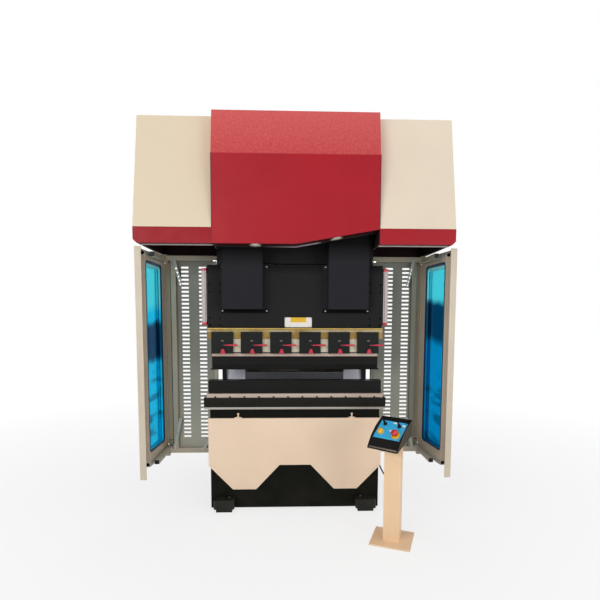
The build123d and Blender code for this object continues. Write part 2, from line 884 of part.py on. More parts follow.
panel_y = rail_y + tube
slot_mid = slot_low + (slot_count - 1) * slot_pitch / 2
free_wide = post_in - slot_panel_in
slot_wide = slot_share * free_wide
for name, side in sides:
    with BuildPart() as slotted_panel:
        block(
            sided(side, slot_panel_in, post_out),
            (panel_y, panel_y + slot_panel_thick),
            (rail_spans_z[1][0], rail_spans_z[0][1]),
        )
        with BuildSketch(Plane.XZ.offset(-panel_y)) as slots:
            for share in left_columns if side < 0 else right_columns:
                column = slot_panel_in + share * free_wide
                with Locations((side * column, slot_mid)):
                    with GridLocations(1, slot_pitch, 1, slot_count):
                        Rectangle(slot_wide, slot_high)
        extrude(slots.sketch, amount=-slot_panel_thick, mode=Mode.SUBTRACT)
    save(slotted_panel.part, f"{name}_slotted_panel")

lug_low = leaf_low - lug_gap - lug_thick
with BuildPart() as hinge_lugs:
    for side in (-1, 1):
        hanger_x = sided(side, corner_in, corner_x)
        block(hanger_x, rail_span_y, (lug_low + lug_thick, arm_low_z - tube / 2))
        block(hanger_x, rail_span_y, (arm_top_z + tube / 2, rail_spans_z[0][1]))
        for z in (rail_spans_z[0][1], lug_low):
            with BuildSketch(Plane.XY.offset(z)) as lug:
                with BuildLine():
                    Polyline(
                        (side * corner_in, rail_y),
                        (side * corner_x, rail_y),
                        (side * (hinge_x + lug_r), hinge_y),
                        (side * (hinge_x - lug_r), hinge_y),
                        (side * corner_in, rail_y + tube),
                        close=True,
                    )
                make_face()
                with Locations((side * hinge_x, hinge_y)):
                    Circle(lug_r)
                    Circle(hinge_r + touch, mode=Mode.SUBTRACT)
            extrude(lug.sketch, amount=lug_thick)
save(hinge_lugs.part, "hinge_lugs")

# Doors
for name, side in sides:
    opened = left_open if side < 0 else right_open
    turn = radians(opened)
    ahead = (side * sin(turn), -cos(turn), 0)
    door_side = Plane(
        origin=(side * hinge_x, hinge_y, 0),
        x_dir=ahead,
        z_dir=(side * cos(turn), sin(turn), 0),
    )
    door_up = Plane(origin=(side * hinge_x, hinge_y, 0), x_dir=ahead, z_dir=(0, 0, 1))
    # In door_side a sketch point is (along, height or its negative)
    up = door_side.y_dir.Z

    with BuildPart() as door:
        with BuildSketch(door_side.offset(-leaf_in)) as leaf:
            with Locations(((leaf_long - leaf_rear) / 2, up * (leaf_low + leaf_top) / 2)):
                Rectangle(leaf_long + leaf_rear, leaf_top - leaf_low)
        extrude(leaf.sketch, amount=leaf_in + leaf_out - skin)
        with BuildSketch(door_side.offset(leaf_out - skin)) as sheet:
            with BuildLine():
                tip_back = skin_long - skin_tip_long
                Polyline(
                    (-leaf_rear, up * skin_top),
                    (skin_long, up * skin_top),
                    (skin_long, up * skin_tip),
                    (tip_back, up * skin_tip),
                    (tip_back - skin_tip_long, up * (skin_tip + leaf_low) / 2),
                    (tip_back - skin_curve, up * leaf_low),
                    (-leaf_rear, up * leaf_low),
                    close=True,
                )
            make_face()
        extrude(sheet.sketch, amount=skin)
        with BuildSketch(door_side.offset(-leaf_in)) as flange:
            with Locations((skin_long - skin / 2, up * (skin_tip + skin_top) / 2)):
                Rectangle(skin, skin_top - skin_tip)
        extrude(flange.sketch, amount=leaf_in + leaf_out)
        with BuildSketch(door_side.offset(-leaf_in)) as window:
            window_mid = (window_rear + window_front) / 2
            with Locations((window_mid, up * window_mid_z)):
                RectangleRounded(
                    window_front - window_rear, window_top - window_low, window_round
                )
        extrude(window.sketch, amount=leaf_in + leaf_out, mode=Mode.SUBTRACT)
    save(door.part, f"{name}_door")

    with BuildPart() as pane:
        pane_in = (leaf_out - leaf_in - pane_thick) / 2
        with BuildSketch(door_side.offset(pane_in)) as glass:
            with Locations((window_mid, up * window_mid_z)):
                RectangleRounded(
                    window_front - window_rear, window_top - window_low, window_round
                )
        extrude(glass.sketch, amount=pane_thick)
    save(pane.part, f"{name}_window")

    with BuildPart() as pins:
        for z, end in ((leaf_top, rail_spans_z[0][1] + lug_thick), (lug_low, leaf_low)):
            with BuildSketch(Plane.XY.offset(z)) as pin:
                with Locations((side * hinge_x, hinge_y)):
                    Circle(hinge_r)
            extrude(pin.sketch, amount=end - z)
    save(pins.part, f"{name}_door_pins")

# Console
yaw = radians(console_turn)
console_right = (cos(yaw), -sin(yaw), 0)
console_back = (sin(yaw), cos(yaw), 0)
rear_mid = (console_x, console_y, 0)
# In side_plane a sketch point is (distance to the rear, height)
side_plane = Plane(origin=rear_mid, x_dir=console_back, z_dir=console_right)
slope = (console_top - slope_low) / slope_reach
cheek_top = console_top - cheek_mid * slope + cheek_bulge
with BuildPart() as console_box:
    with BuildSketch(side_plane.offset(cheek_thick - console_wide / 2)) as wedge:
        with BuildLine():
            Polyline(
                (0, console_low),
                (0, console_top),
                (-slope_reach, slope_low),
                (-nose_reach, nose_low),
                close=True,
            )
        make_face()
    extrude(wedge.sketch, amount=console_wide - 2 * cheek_thick)
    for start in (-console_wide / 2, console_wide / 2 - cheek_thick):
        with BuildSketch(side_plane.offset(start)) as cheek:
            with BuildLine():
                ThreePointArc(
                    (0, console_top), (-cheek_mid, cheek_top), (-nose_reach, nose_low)
                )
                Polyline((-nose_reach, nose_low), (0, console_low), (0, console_top))
            make_face()
        extrude(cheek.sketch, amount=cheek_thick)
save(console_box.part, "console_box")

with BuildPart() as console_plate:
    with BuildSketch(side_plane.offset(plate_side - console_wide / 2)) as sheet:
        with BuildLine():
            near = plate_start
            far = slope_reach - plate_end
            Polyline(
                (-near, console_top - near * slope),
                (-near, console_top - near * slope + plate_thick),
                (-far, console_top - far * slope + plate_thick),
                (-far, console_top - far * slope),
                close=True,
            )
        make_face()
    extrude(sheet.sketch, amount=console_wide - 2 * plate_side)
save(console_plate.part, "console_plate")

stand = radians(post_turn)
post_x = console_x + post_aside * cos(yaw) - post_ahead * sin(yaw)
post_y = console_y - post_aside * sin(yaw) - post_ahead * cos(yaw)
post_plane = Plane(origin=(post_x, post_y, 0), x_dir=(cos(stand), -sin(stand), 0))
with BuildPart() as console_post:
    with BuildSketch(post_plane) as foot:
        Rectangle(console_foot, console_foot)
    extrude(foot.sketch, amount=console_foot_thick)
    with BuildSketch(post_plane.offset(console_foot_thick)) as shaft:
        Rectangle(post_side, post_side)
    extrude(shaft.sketch, amount=console_low - console_foot_thick)
    # The post ends against the sloping underside of the box
    with BuildSketch(side_plane.offset(-console_wide)) as room:
        with BuildLine():
            Polyline(
                (0, console_low),
                (-nose_reach, nose_low),
                (-nose_reach, console_top),
                (0, console_top),
                close=True,
            )
        make_face()
    extrude(room.sketch, amount=2 * console_wide, mode=Mode.SUBTRACT)
save(console_post.part, "console_post")

# Buttons stand square on the sloping blue plate
slant = hypot(1, slope)
plate_mid = (plate_start + slope_reach - plate_end) / 2
face_x = console_x - plate_mid * sin(yaw)
face_y = console_y - plate_mid * cos(yaw)
face_z = console_top - plate_mid * slope + plate_thick
plate_up = (-slope * sin(yaw) / slant, -slope * cos(yaw) / slant, 1 / slant)
plate_face = Plane(
    origin=(face_x, face_y, face_z), x_dir=console_right, z_dir=plate_up
)
with BuildPart() as console_buttons:
    for (across, along), outline in buttons:
        foot_at = plate_face.from_local_coords((across, along, 0))
        turned_in = Plane(origin=foot_at, x_dir=console_right, z_dir=-plate_face.y_dir)
        with BuildSketch(turned_in) as half:
            with BuildLine():
                Polyline(*outline, close=True)
            make_face()
        revolve(half.sketch, axis=Axis(foot_at, plate_up))
save(console_buttons.part, "console_buttons")

# Cable from a gland on the lower guard rail to a gland on the console post
start_y = rail_y - gland_long
end_way = (sin(stand), cos(stand))
end_face = [at + way * post_side / 2 for at, way in zip((post_x, post_y), end_way)]
end_tip = [at + way * gland_long for at, way in zip(end_face, end_way)]
with BuildPart() as cable_glands:
    start_plane = Plane(origin=(cable_start_x, rail_y, cable_start_z), z_dir=(0, -1, 0))
    end_plane = Plane(origin=(*end_face, cable_end_z), z_dir=(*end_way, 0))
    for gland_plane in (start_plane, end_plane):
        with BuildSketch(gland_plane) as ring:
            Circle(gland_r)
        extrude(ring.sketch, amount=gland_long)
save(cable_glands.part, "cable_glands")

route = [(cable_start_x, start_y, cable_start_z)]
route += [(x, bend_y + behind, z) for x, behind, z in cable_mid]
route += [(*end_tip, cable_end_z)]
runs = [Vector(*b) - Vector(*a) for a, b in zip(route, route[1:])]
arcs = []
for before, after in zip(runs, runs[1:]):
    half_turn = radians(before.get_angle(after)) / 2
    arcs.append(bend_share * min(before.length, after.length) / tan(half_turn))
print("cable radii", [round(arc) for arc in arcs])
with BuildPart() as console_cable:
    with BuildLine() as path:
        FilletPolyline(*route, radius=arcs)
    with BuildSketch(Plane(origin=route[0], z_dir=runs[0])) as section:
        Circle(cable_r)
    cable_line = path.wires()[0]
    sweep(section.sketch, path=cable_line)
swept = section.sketch.area * cable_line.length
print("cable length", round(cable_line.length, 1))
print("cable volume ratio", round(console_cable.part.volume / swept, 4))
save(console_cable.part, "console_cable")
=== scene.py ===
import json
import math

import bmesh
import bpy
from mathutils import Matrix, Vector


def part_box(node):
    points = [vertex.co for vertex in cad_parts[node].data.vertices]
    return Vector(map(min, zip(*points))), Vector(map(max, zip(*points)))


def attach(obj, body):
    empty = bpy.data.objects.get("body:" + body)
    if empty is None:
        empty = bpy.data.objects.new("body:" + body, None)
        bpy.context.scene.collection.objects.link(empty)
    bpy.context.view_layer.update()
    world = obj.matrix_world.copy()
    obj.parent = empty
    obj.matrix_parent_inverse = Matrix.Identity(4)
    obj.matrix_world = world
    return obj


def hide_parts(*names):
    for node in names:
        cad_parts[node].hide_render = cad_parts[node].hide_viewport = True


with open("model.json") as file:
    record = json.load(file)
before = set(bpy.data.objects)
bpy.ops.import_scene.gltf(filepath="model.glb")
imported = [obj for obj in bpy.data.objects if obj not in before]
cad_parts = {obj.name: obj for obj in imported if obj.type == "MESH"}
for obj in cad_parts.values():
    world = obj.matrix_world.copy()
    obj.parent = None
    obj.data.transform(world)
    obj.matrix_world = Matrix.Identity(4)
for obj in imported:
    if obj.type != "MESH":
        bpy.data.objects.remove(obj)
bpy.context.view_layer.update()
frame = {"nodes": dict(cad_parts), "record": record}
nodes = frame["nodes"]

# Places repeated from the CAD source, in metres
BEND = -0.36
RAM_FRONT = BEND - 0.040
FLANGE_FRONT = RAM_FRONT - 0.004
CLAMP_COUNT, CLAMP_PITCH = 6, 0.198
CLAMP_X = [(i - (CLAMP_COUNT - 1) / 2) * CLAMP_PITCH for i in range(CLAMP_COUNT)]
CLAMP_FRONT = RAM_FRONT - 0.045
TABLE_FRONT = BEND - 0.062
PANEL_TOP = 0.650
RAIL_NOTCHES, NOTCH_PITCH = 12, 0.100
FOOT_TOP = 0.087
HOOD_FRONT = BEND - 0.225
HOOD_HALF = 0.5344
HOOD_LOW = 1.811
HOOD_FOLD = 2.362
RAIL_Y = BEND + 0.185
CORNER_Y = BEND + 0.286
REAR_FACE = BEND + 0.879
HINGE_X, HINGE_Y = 0.975, BEND + 0.278
LEFT_OPEN, RIGHT_OPEN = math.radians(4.0), math.radians(7.0)
CONSOLE_YAW = math.radians(41.3)
POST_YAW = math.radians(22.0)
FRONT = (0, -1, 0)
SIDES = (-1, 1)


def srgb(red, green, blue):
    """Linear colour of an 8-bit screen colour."""
    def lin(c):
        c = c / 255
        return c / 12.92 if c <= 0.04045 else ((c + 0.055) / 1.055) ** 2.4
    return (lin(red), lin(green), lin(blue), 1.0)


def scaled(colour, factor):
    return tuple(min(1.0, c * factor) for c in colour[:3]) + (1.0,)


# Materials
class Tree:
    """A material's node tree with short ways to add and join nodes."""

    def __init__(self, name):
        self.mat = bpy.data.materials.new(name)
        self.mat.use_nodes = True
        self.tree = self.mat.node_tree
        self.shader = self.tree.nodes["Principled BSDF"]
        coord = self.tree.nodes.new("ShaderNodeTexCoord")
        self.coord = coord.outputs["Object"]

    def add(self, kind, inputs=None, **settings):
        node = self.tree.nodes.new(kind)
        for key, value in settings.items():
            setattr(node, key, value)
        for key, value in (inputs or {}).items():
            self.put(node.inputs[key], value)
        return node

    def put(self, socket, value):
        if isinstance(value, bpy.types.NodeSocket):
            self.tree.links.new(value, socket)
        else:
            socket.default_value = value

    def noise(self, scale, detail=2.0, stretch=None):
        place = self.coord
        if stretch:
            mapping = self.add("ShaderNodeMapping", {"Vector": place, "Scale": stretch})
            place = mapping.outputs["Vector"]
        node = self.add("ShaderNodeTexNoise", {"Vector": place, "Scale": scale, "Detail": detail})
        return node.outputs["Fac"]

    def ramp(self, value, low, high, out_low=0.0, out_high=1.0):
        ends = {"From Min": low, "From Max": high, "To Min": out_low, "To Max": out_high}
        return self.add("ShaderNodeMapRange", {"Value": value, **ends}).outputs["Result"]

    def mix(self, factor, first, second):
        node = self.add("ShaderNodeMix", data_type="RGBA")
        for index, value in ((0, factor), (6, first), (7, second)):
            self.put(node.inputs[index], value)
        return node.outputs[2]

    def maths(self, operation, first, second=0.0):
        node = self.add("ShaderNodeMath", operation=operation)
        self.put(node.inputs[0], first)
        self.put(node.inputs[1], second)
        return node.outputs[0]

    def times(self, first, second):
        return self.maths("MULTIPLY", first, second)

    def part(self, axis):
        """One object coordinate as a value."""
        node = self.add("ShaderNodeSeparateXYZ", {"Vector": self.coord})
        return node.outputs[axis]

    def from_middle(self):
        return self.maths("ABSOLUTE", self.part("X"))

    def band(self, value, low, high, fade):
        """1 between two values, fading outside them."""
        return self.times(
            self.ramp(value, low - fade, low), self.ramp(value, high + fade, high)
        )

    def on_left(self):
        """1 on the left half of the machine."""
        return self.ramp(self.part("X"), -0.1, -0.3)

    def on_right(self, left=0.0, right=1.0):
        """One value on the left half of the machine, another on its right half."""
        return self.ramp(self.part("X"), -0.1, 0.1, left, right)

    def facing(self):
        """The three parts of the flat normal."""
        flat = self.add("ShaderNodeNewGeometry")
        return self.add("ShaderNodeSeparateXYZ", {"Vector": flat.outputs["True Normal"]}).outputs

    def dot(self, first, second):
        node = self.add("ShaderNodeVectorMath", operation="DOT_PRODUCT")
        self.put(node.inputs[0], first)
        self.put(node.inputs[1], second)
        return node.outputs["Value"]

    def edges(self, radius):
        """Rounded normal, and how far it leaves the flat one: an edge mask."""
        bevel = self.add("ShaderNodeBevel", {"Radius": radius}, samples=4).outputs["Normal"]
        flat = self.add("ShaderNodeNewGeometry").outputs["Normal"]
        return bevel, self.maths("SUBTRACT", 1.0, self.dot(bevel, flat))


SOIL = (0.12, 0.10, 0.08, 1.0)
EDGE_RADIUS = 0.0009
ROUGH_VARY = 0.06
M = {}


def surface(
    name,
    colour,
    rough=0.45,
    metallic=0.0,
    specular=0.5,
    tone=0.05,
    tone_scale=3.0,
    grain=300.0,
    grain_depth=0.00012,
    grain_strength=0.25,
    speck=0.0,
    speck_scale=420.0,
    streak=None,
    wear=0.25,
    wear_colour=None,
    dirt=0.0,
    coat=0.0,
    paint=None,
):
    """Painted, ground or moulded surface: uneven tone, fine grain, worn rounded edges."""
    t = Tree(name)
    normal, mask = t.edges(EDGE_RADIUS)
    cloud = t.ramp(t.noise(tone_scale, 4.0), 0.3, 0.7)
    base = t.mix(cloud, scaled(colour, 1 - tone), scaled(colour, 1 + tone))
    if paint:
        base = paint(t, base)
    if speck:
        fleck = t.ramp(t.noise(speck_scale, 1.0), 0.60, 0.72, 0.0, speck)
        base = t.mix(fleck, base, scaled(colour, 1.9))
        pit = t.ramp(t.noise(speck_scale * 0.7, 1.0), 0.40, 0.28, 0.0, speck)
        base = t.mix(pit, base, scaled(colour, 0.5))
    if dirt:
        low = t.ramp(t.part("Z"), 0.35, 0.0)
        base = t.mix(t.times(low, t.ramp(t.noise(9.0, 6.0), 0.35, 0.75, 0.0, dirt)), base, SOIL)
    worn = t.times(t.ramp(mask, 0.03, 0.30), t.ramp(t.noise(38.0, 5.0), 0.42, 0.62))
    base = t.mix(t.times(worn, wear), base, wear_colour or scaled(colour, 1.6))
    t.put(t.shader.inputs["Base Color"], base)
    uneven = t.noise(14.0, 5.0, stretch=streak)
    t.put(
        t.shader.inputs["Roughness"],
        t.ramp(uneven, 0.3, 0.7, rough - ROUGH_VARY, rough + ROUGH_VARY),
    )
    t.shader.inputs["Metallic"].default_value = metallic
    t.shader.inputs["Specular IOR Level"].default_value = specular
    if coat:
        t.shader.inputs["Coat Weight"].default_value = coat
        t.shader.inputs["Coat Roughness"].default_value = 0.12
    height = t.noise(grain, 2.0, stretch=streak)
    depth = {"Distance": grain_depth, "Strength": grain_strength}
    bump = t.add("ShaderNodeBump", {"Height": height, "Normal": normal, **depth})
    t.put(t.shader.inputs["Normal"], bump.outputs["Normal"])
    M[name] = t.mat


def hood_shade(t, base):
    """Painted highlight: above its front fold the middle hood is painted paler, more so towards the
    top, with coarser grain, but not at the rear.
    """
    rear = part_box("centre_hood")[1][1]
    above = t.times(
        t.ramp(t.part("Z"), HOOD_FOLD, HOOD_FOLD + 0.008),
        t.ramp(t.part("Y"), rear - 0.001, rear - 0.003),
    )
    # Painted highlight, paler towards the top of the strip
    strip = t.mix(t.ramp(t.part("Z"), 2.37, 2.64), srgb(191, 66, 69), srgb(205, 88, 88))
    spots = t.ramp(t.noise(105.0, 4.0), 0.40, 0.68, 0.0, 0.42)
    strip = t.mix(spots, strip, srgb(222, 112, 106))
    return inner_shade(t, t.mix(above, base, strip))


def band_shade(t, base):
    """Painted shade: the left band is painted slightly darker than the right one."""
    return inner_shade(t, t.mix(t.on_left(), base, srgb(153, 18, 30)))


def beige_shade(t, base):
    """Painted shade: the left side hood is painted slightly darker and yellower than the right one.
    """
    return inner_shade(t, t.mix(t.on_left(), base, srgb(225, 208, 180)))


def lip_shade(t, base):
    """Reddish underside of the lamp panel, with a painted highlight along its lip that fades to both
    ends.
    """
    facing = t.facing()
    under = t.mix(t.ramp(facing["Z"], -0.5, -0.8), base, srgb(70, 26, 28))
    across = t.times(t.ramp(t.part("X"), -0.21, 0.06), t.ramp(t.part("X"), 0.17, 0.14))
    # Painted highlight along the front of the lip
    lip = t.times(t.ramp(facing["Y"], -0.8, -0.95), across)
    return t.mix(lip, under, srgb(176, 164, 172))


def inner_shade(t, base):
    """Painted shade: faces of a hood that look inward or down are painted dark."""
    hood_mid = -0.19
    facing = t.facing()
    from_mid = t.maths("SIGN", t.maths("SUBTRACT", t.part("Y"), hood_mid))
    inward = t.maths(
        "MINIMUM", t.times(from_mid, facing["Y"]),
        t.times(t.maths("SIGN", t.part("X")), facing["X"]),
    )
    inward = t.maths("MINIMUM", inward, facing["Z"])
    return t.mix(t.ramp(inward, -0.45, -0.60), base, srgb(54, 36, 38))


def plate_paint(t, base):
    """Plain yellow upper band on the white blank plate."""
    low, left, right, fade = 1.3120, -0.0325, 0.0740, 0.0005
    band = t.times(t.ramp(t.part("Z"), low - fade, low), t.band(t.part("X"), left, right, fade))
    return t.mix(band, base, srgb(232, 184, 40))


def ram_paint(t, base):
    """Painted shade: bolt holes at the ram's sides are painted dark, and a painted shadow of the
    hood darkens its top.
    """
    holes_in, holes_out, fade = 0.5, 0.59, 0.0005
    depth = t.ramp(t.part("Y"), RAM_FRONT + 0.0004, RAM_FRONT + 0.0010)
    within = t.band(t.from_middle(), holes_in, holes_out, fade)
    base = t.mix(t.times(depth, within), base, (0.002, 0.002, 0.002, 1.0))
    # Painted shadow of the hood over the ram's top
    above = t.ramp(t.part("Z"), 1.635, 1.715)
    return t.mix(t.times(above, 0.92), base, (0.002, 0.002, 0.002, 1.0))


def cover_paint(t, base):
    """Painted shadow under each cover, on the flange, and painted shadow of the hood where the
    covers go up into it.
    """
    # Painted shadow under each cover, on the flange
    low = t.ramp(t.part("Z"), 1.4015, 1.3995)
    behind = t.ramp(t.part("Y"), FLANGE_FRONT - 0.003, FLANGE_FRONT - 0.001)
    base = t.mix(t.times(low, behind), base, (0.004, 0.004, 0.004, 1.0))
    # Painted shadow of the hood where the covers go up into it
    over_start = t.maths("SUBTRACT", t.part("Z"), t.on_right(1.675, 1.712))
    above = t.ramp(over_start, 0.0, 0.120)
    return t.mix(t.times(above, 0.9), base, (0.002, 0.002, 0.002, 1.0))


def arm_paint(t, base):
    """Painted light makes the left corner tube paler; painted shade darkens the inner side of both
    corner tubes, and a dark seam runs at the foot.
    """
    height = t.part("Z")
    # Painted shade in the gap down the inner side of each corner tube
    gap_shade = t.times(t.ramp(t.from_middle(), 0.9290, 0.9280), t.ramp(height, 0.3735, 0.3740))
    rear = t.ramp(t.part("Y"), CORNER_Y, CORNER_Y + 0.0005)
    seam = t.times(t.band(height, 0.4025, 0.4070, 0.0005), rear)
    # Painted light: the left corner tube is painted paler
    base = t.mix(t.times(rear, t.on_left()), base, srgb(216, 204, 178))
    return t.mix(t.maths("MAXIMUM", gap_shade, seam), base, srgb(44, 40, 36))


def gold_paint(t, base):
    """Yellow zinc coat with a bare bright strip along the clamps' top, and a painted highlight along
    their upper edge.
    """
    base = zinc_tint(t, base)
    height = t.part("Z")
    strip = t.times(t.ramp(height, 1.2440, 1.2475), t.ramp(height, 1.2600, 1.2575))
    patch = t.ramp(t.noise(5.0, 2.0), 0.42, 0.58, 0.15, 0.9)
    base = t.mix(t.times(strip, patch), base, srgb(178, 168, 142))
    # Painted highlight along the clamps' upper edge
    line = t.ramp(height, 1.2655, 1.2670, 0.0, 0.6)
    return t.mix(line, base, srgb(232, 196, 104))


def painted_low_light(t, base):
    """Painted light: the coat is painted a little paler towards the foot, where more light falls,
    more so on the right.
    """
    low = t.times(t.ramp(t.part("Z"), 1.05, 0.50), t.on_right(0.60, 0.88))
    return t.mix(low, base, srgb(200, 197, 178))


def post_shade(t, base):
    """Painted shade: the right posts are painted darker than the left ones."""
    return t.mix(t.on_right(), base, srgb(134, 131, 116))


def cheek_paint(t, base):
    """The right cheek of the console is painted browner and lighter."""
    flat = t.add("ShaderNodeNewGeometry").outputs["True Normal"]
    sideways = t.dot(flat, (math.cos(CONSOLE_YAW), -math.sin(CONSOLE_YAW), 0))
    return t.mix(t.ramp(sideways, 0.90, 0.96), base, srgb(62, 52, 40))


def sunk_screws(t, base):
    """Flat screw heads let into the rear cover, round its edge, each in a ring of painted shade for
    its recess.
    """
    across_pitch, up_pitch, up_shift = 0.325, 0.46, 0.14
    head_r, recess_r = 0.0064, 0.0078
    x, z = t.part("X"), t.part("Z")
    across = t.maths("MODULO", t.maths("ADD", x, 2 * across_pitch), across_pitch)
    across = t.maths("SUBTRACT", across, across_pitch / 2)
    up = t.maths("MODULO", t.maths("ADD", z, up_shift), up_pitch)
    up = t.maths("SUBTRACT", up, up_pitch / 2)
    far = t.maths("POWER", t.maths("ADD", t.times(across, across), t.times(up, up)), 0.5)
    rim = t.maths("MAXIMUM", t.ramp(t.from_middle(), 0.40, 0.41), t.ramp(z, 0.20, 0.19))
    rim = t.maths("MAXIMUM", rim, t.ramp(z, 1.40, 1.41))
    rim = t.times(rim, t.ramp(t.part("Y"), REAR_FACE, REAR_FACE + 0.0005))
    # Painted shade in the ring of each screw's recess
    recess = t.times(rim, t.ramp(far, recess_r + 0.0008, recess_r))
    base = t.mix(recess, base, srgb(96, 88, 78))
    head = t.times(rim, t.ramp(far, head_r + 0.0006, head_r))
    return t.mix(head, base, srgb(178, 176, 168))


def ground_lines(t, base):
    """Long faint grinding marks."""
    lines = t.noise(60.0, 3.0, stretch=(0.02, 1.0, 6.0))
    return t.mix(t.ramp(lines, 0.35, 0.65, 0.0, 0.35), base, (0.9, 0.88, 0.85, 1.0))


def zinc_tint(t, base):
    """Yellow zinc coat: gold drifting to green and rose."""
    drift = t.noise(16.0, 3.0)
    base = t.mix(t.ramp(drift, 0.52, 0.7, 0.0, 0.45), base, srgb(150, 150, 84))
    return t.mix(t.ramp(drift, 0.48, 0.3, 0.0, 0.35), base, srgb(206, 150, 112))


# Colours and coats that several materials share
MACHINE_BLACK = srgb(30, 30, 31)
BLACK_EDGE = (0.10, 0.10, 0.11, 1)
HOOD_RED = srgb(167, 30, 41)
HOOD_BEIGE = srgb(232, 217, 195)
GUARD_BEIGE = srgb(182, 171, 150)
TEXTURED = {
    "rough": 0.55, "speck": 0.35, "grain": 260, "grain_depth": 0.0003, "grain_strength": 0.5,
    "wear": 0.12, "wear_colour": BLACK_EDGE,
}
ORANGE_PEEL = {
    "rough": 0.42, "specular": 0.16, "tone": 0.06, "speck_scale": 330, "grain": 240,
    "grain_depth": 0.00035, "grain_strength": 0.45, "wear": 0.15,
}
POWDER = {"speck": 0.04, "grain": 260, "grain_depth": 0.0002, "grain_strength": 0.3}
HOOD_COAT = {
    "rough": 0.45, "specular": 0.35, "wear": 0.10, "wear_colour": srgb(170, 160, 145), **POWDER,
}
GUARD_COAT = {"rough": 0.5, "specular": 0.3, "tone": 0.10, "speck": 0.10, "wear": 0.2, "dirt": 0.1}
FRAME_COAT = {
    "rough": 0.42, "specular": 0.3, "tone": 0.05, "speck": 0.05, "wear": 0.25,
    "wear_colour": srgb(225, 218, 202),
}

surface("machine_black", MACHINE_BLACK, specular=0.14, **TEXTURED)
surface("ram_black", srgb(40, 40, 40), specular=0.03, paint=ram_paint, **TEXTURED)
surface(
    "base_black", srgb(17, 18, 14), rough=0.5, specular=0.06, speck=0.15,
    wear=0.15, wear_colour=(0.10, 0.10, 0.09, 1), dirt=0.10,
)
surface("hood_red", HOOD_RED, speck=0.12, paint=band_shade, **ORANGE_PEEL)
surface("hood_red_folded", HOOD_RED, speck=0.14, paint=hood_shade, **ORANGE_PEEL)
surface("hood_beige", HOOD_BEIGE, tone=0.025, paint=beige_shade, **HOOD_COAT)
surface("cover_beige", HOOD_BEIGE, tone=0.03, dirt=0.15, paint=sunk_screws, **HOOD_COAT)
surface(
    "panel_peach", srgb(240, 214, 187), rough=0.42, specular=0.35, tone=0.03, wear=0.6,
    wear_colour=srgb(250, 240, 225), dirt=0.12, **POWDER,
)
surface(
    "post_peach", srgb(246, 210, 170), rough=0.42, specular=0.3, tone=0.03, wear=0.4,
    wear_colour=srgb(252, 240, 220), dirt=0.10, **POWDER,
)
surface("guard_grey", srgb(134, 134, 124), paint=painted_low_light, **GUARD_COAT)
surface("post_grey", srgb(174, 166, 146), paint=post_shade, **GUARD_COAT)
surface(
    "panel_under", MACHINE_BLACK, rough=0.5, specular=0.2, speck=0.2, wear=0.1,
    paint=lip_shade,
)
surface(
    "foot_black", srgb(27, 28, 23), rough=0.42, specular=0.2, speck=0.15,
    wear=0.9, wear_colour=(0.22, 0.22, 0.20, 1), dirt=0.15,
)
surface(
    "lip_grey", srgb(188, 172, 170), rough=0.4, specular=0.3, tone=0.10, tone_scale=9.0,
    wear=0.2,
)
surface(
    "guard_light", srgb(178, 182, 172), rough=0.42, specular=0.4, tone=0.06, wear=0.3,
)
surface("guard_beige", GUARD_BEIGE, **FRAME_COAT)
surface("arm_beige", GUARD_BEIGE, paint=arm_paint, **FRAME_COAT)
surface(
    "door_beige", srgb(212, 198, 178), rough=0.42, specular=0.35, tone=0.05, speck=0.04,
    wear=0.25, wear_colour=srgb(240, 232, 218),
)
surface(
    "holder_black", srgb(26, 25, 20), rough=0.4, specular=0.12, tone=0.12,
    wear=0.5, wear_colour=(0.16, 0.15, 0.13, 1), streak=(0.05, 1.0, 4.0),
)
surface(
    "table_steel", srgb(150, 143, 133), rough=0.38, metallic=0.6, tone=0.08,
    streak=(0.05, 1.0, 4.0), wear=0.3, paint=ground_lines,
)
surface(
    "rail_steel", srgb(178, 152, 134), rough=0.36, metallic=0.30, tone=0.07,
    streak=(0.05, 1.0, 4.0), wear=0.3, paint=ground_lines,
)
surface(
    "tool_steel", srgb(19, 18, 17), rough=0.36, specular=0.16, metallic=0.2, tone=0.16,
    tone_scale=6.0, streak=(0.04, 1.0, 5.0), grain_strength=0.35, wear=0.5,
    wear_colour=(0.25, 0.23, 0.20, 1),
)
surface(
    "cover_grey", srgb(42, 42, 46), rough=0.42, specular=0.03, tone=0.05, speck=0.10,
    grain=280, grain_depth=0.0002, grain_strength=0.35, wear=0.2,
    wear_colour=BLACK_EDGE, paint=cover_paint,
)
surface(
    "clamp_gold", srgb(140, 112, 54), rough=0.30, metallic=0.6, tone=0.20,
    tone_scale=9.0, wear=0.3, wear_colour=(0.75, 0.68, 0.50, 1), paint=gold_paint,
)
surface(
    "clamp_black", srgb(20, 23, 21), rough=0.38, specular=0.16, tone=0.12, wear=0.35,
    wear_colour=(0.14, 0.14, 0.14, 1),
)
surface(
    "adapter_cream", srgb(206, 196, 174), rough=0.35, metallic=0.2, tone=0.08, wear=0.3,
)
surface(
    "lever_red", srgb(190, 16, 52), rough=0.32, tone=0.05, grain_strength=0.08, wear=0.1,
    coat=0.3,
)
surface(
    "scale_white", srgb(190, 178, 176), rough=0.4, tone=0.03, grain_strength=0.1, wear=0.15,
    wear_colour=srgb(160, 158, 160),
)
surface(
    "plate_white", srgb(238, 234, 226), rough=0.35, tone=0.02, grain_strength=0.06,
    wear=0.2, wear_colour=srgb(150, 146, 138), paint=plate_paint,
)
surface(
    "lamp_cream", srgb(236, 226, 196), rough=0.3, tone=0.03, grain=500,
    grain_strength=0.2, wear=0.05, coat=0.4,
)
surface(
    "gauge_lavender", srgb(240, 241, 255), rough=0.32, tone=0.06, wear=0.4,
    wear_colour=srgb(235, 235, 245),
)
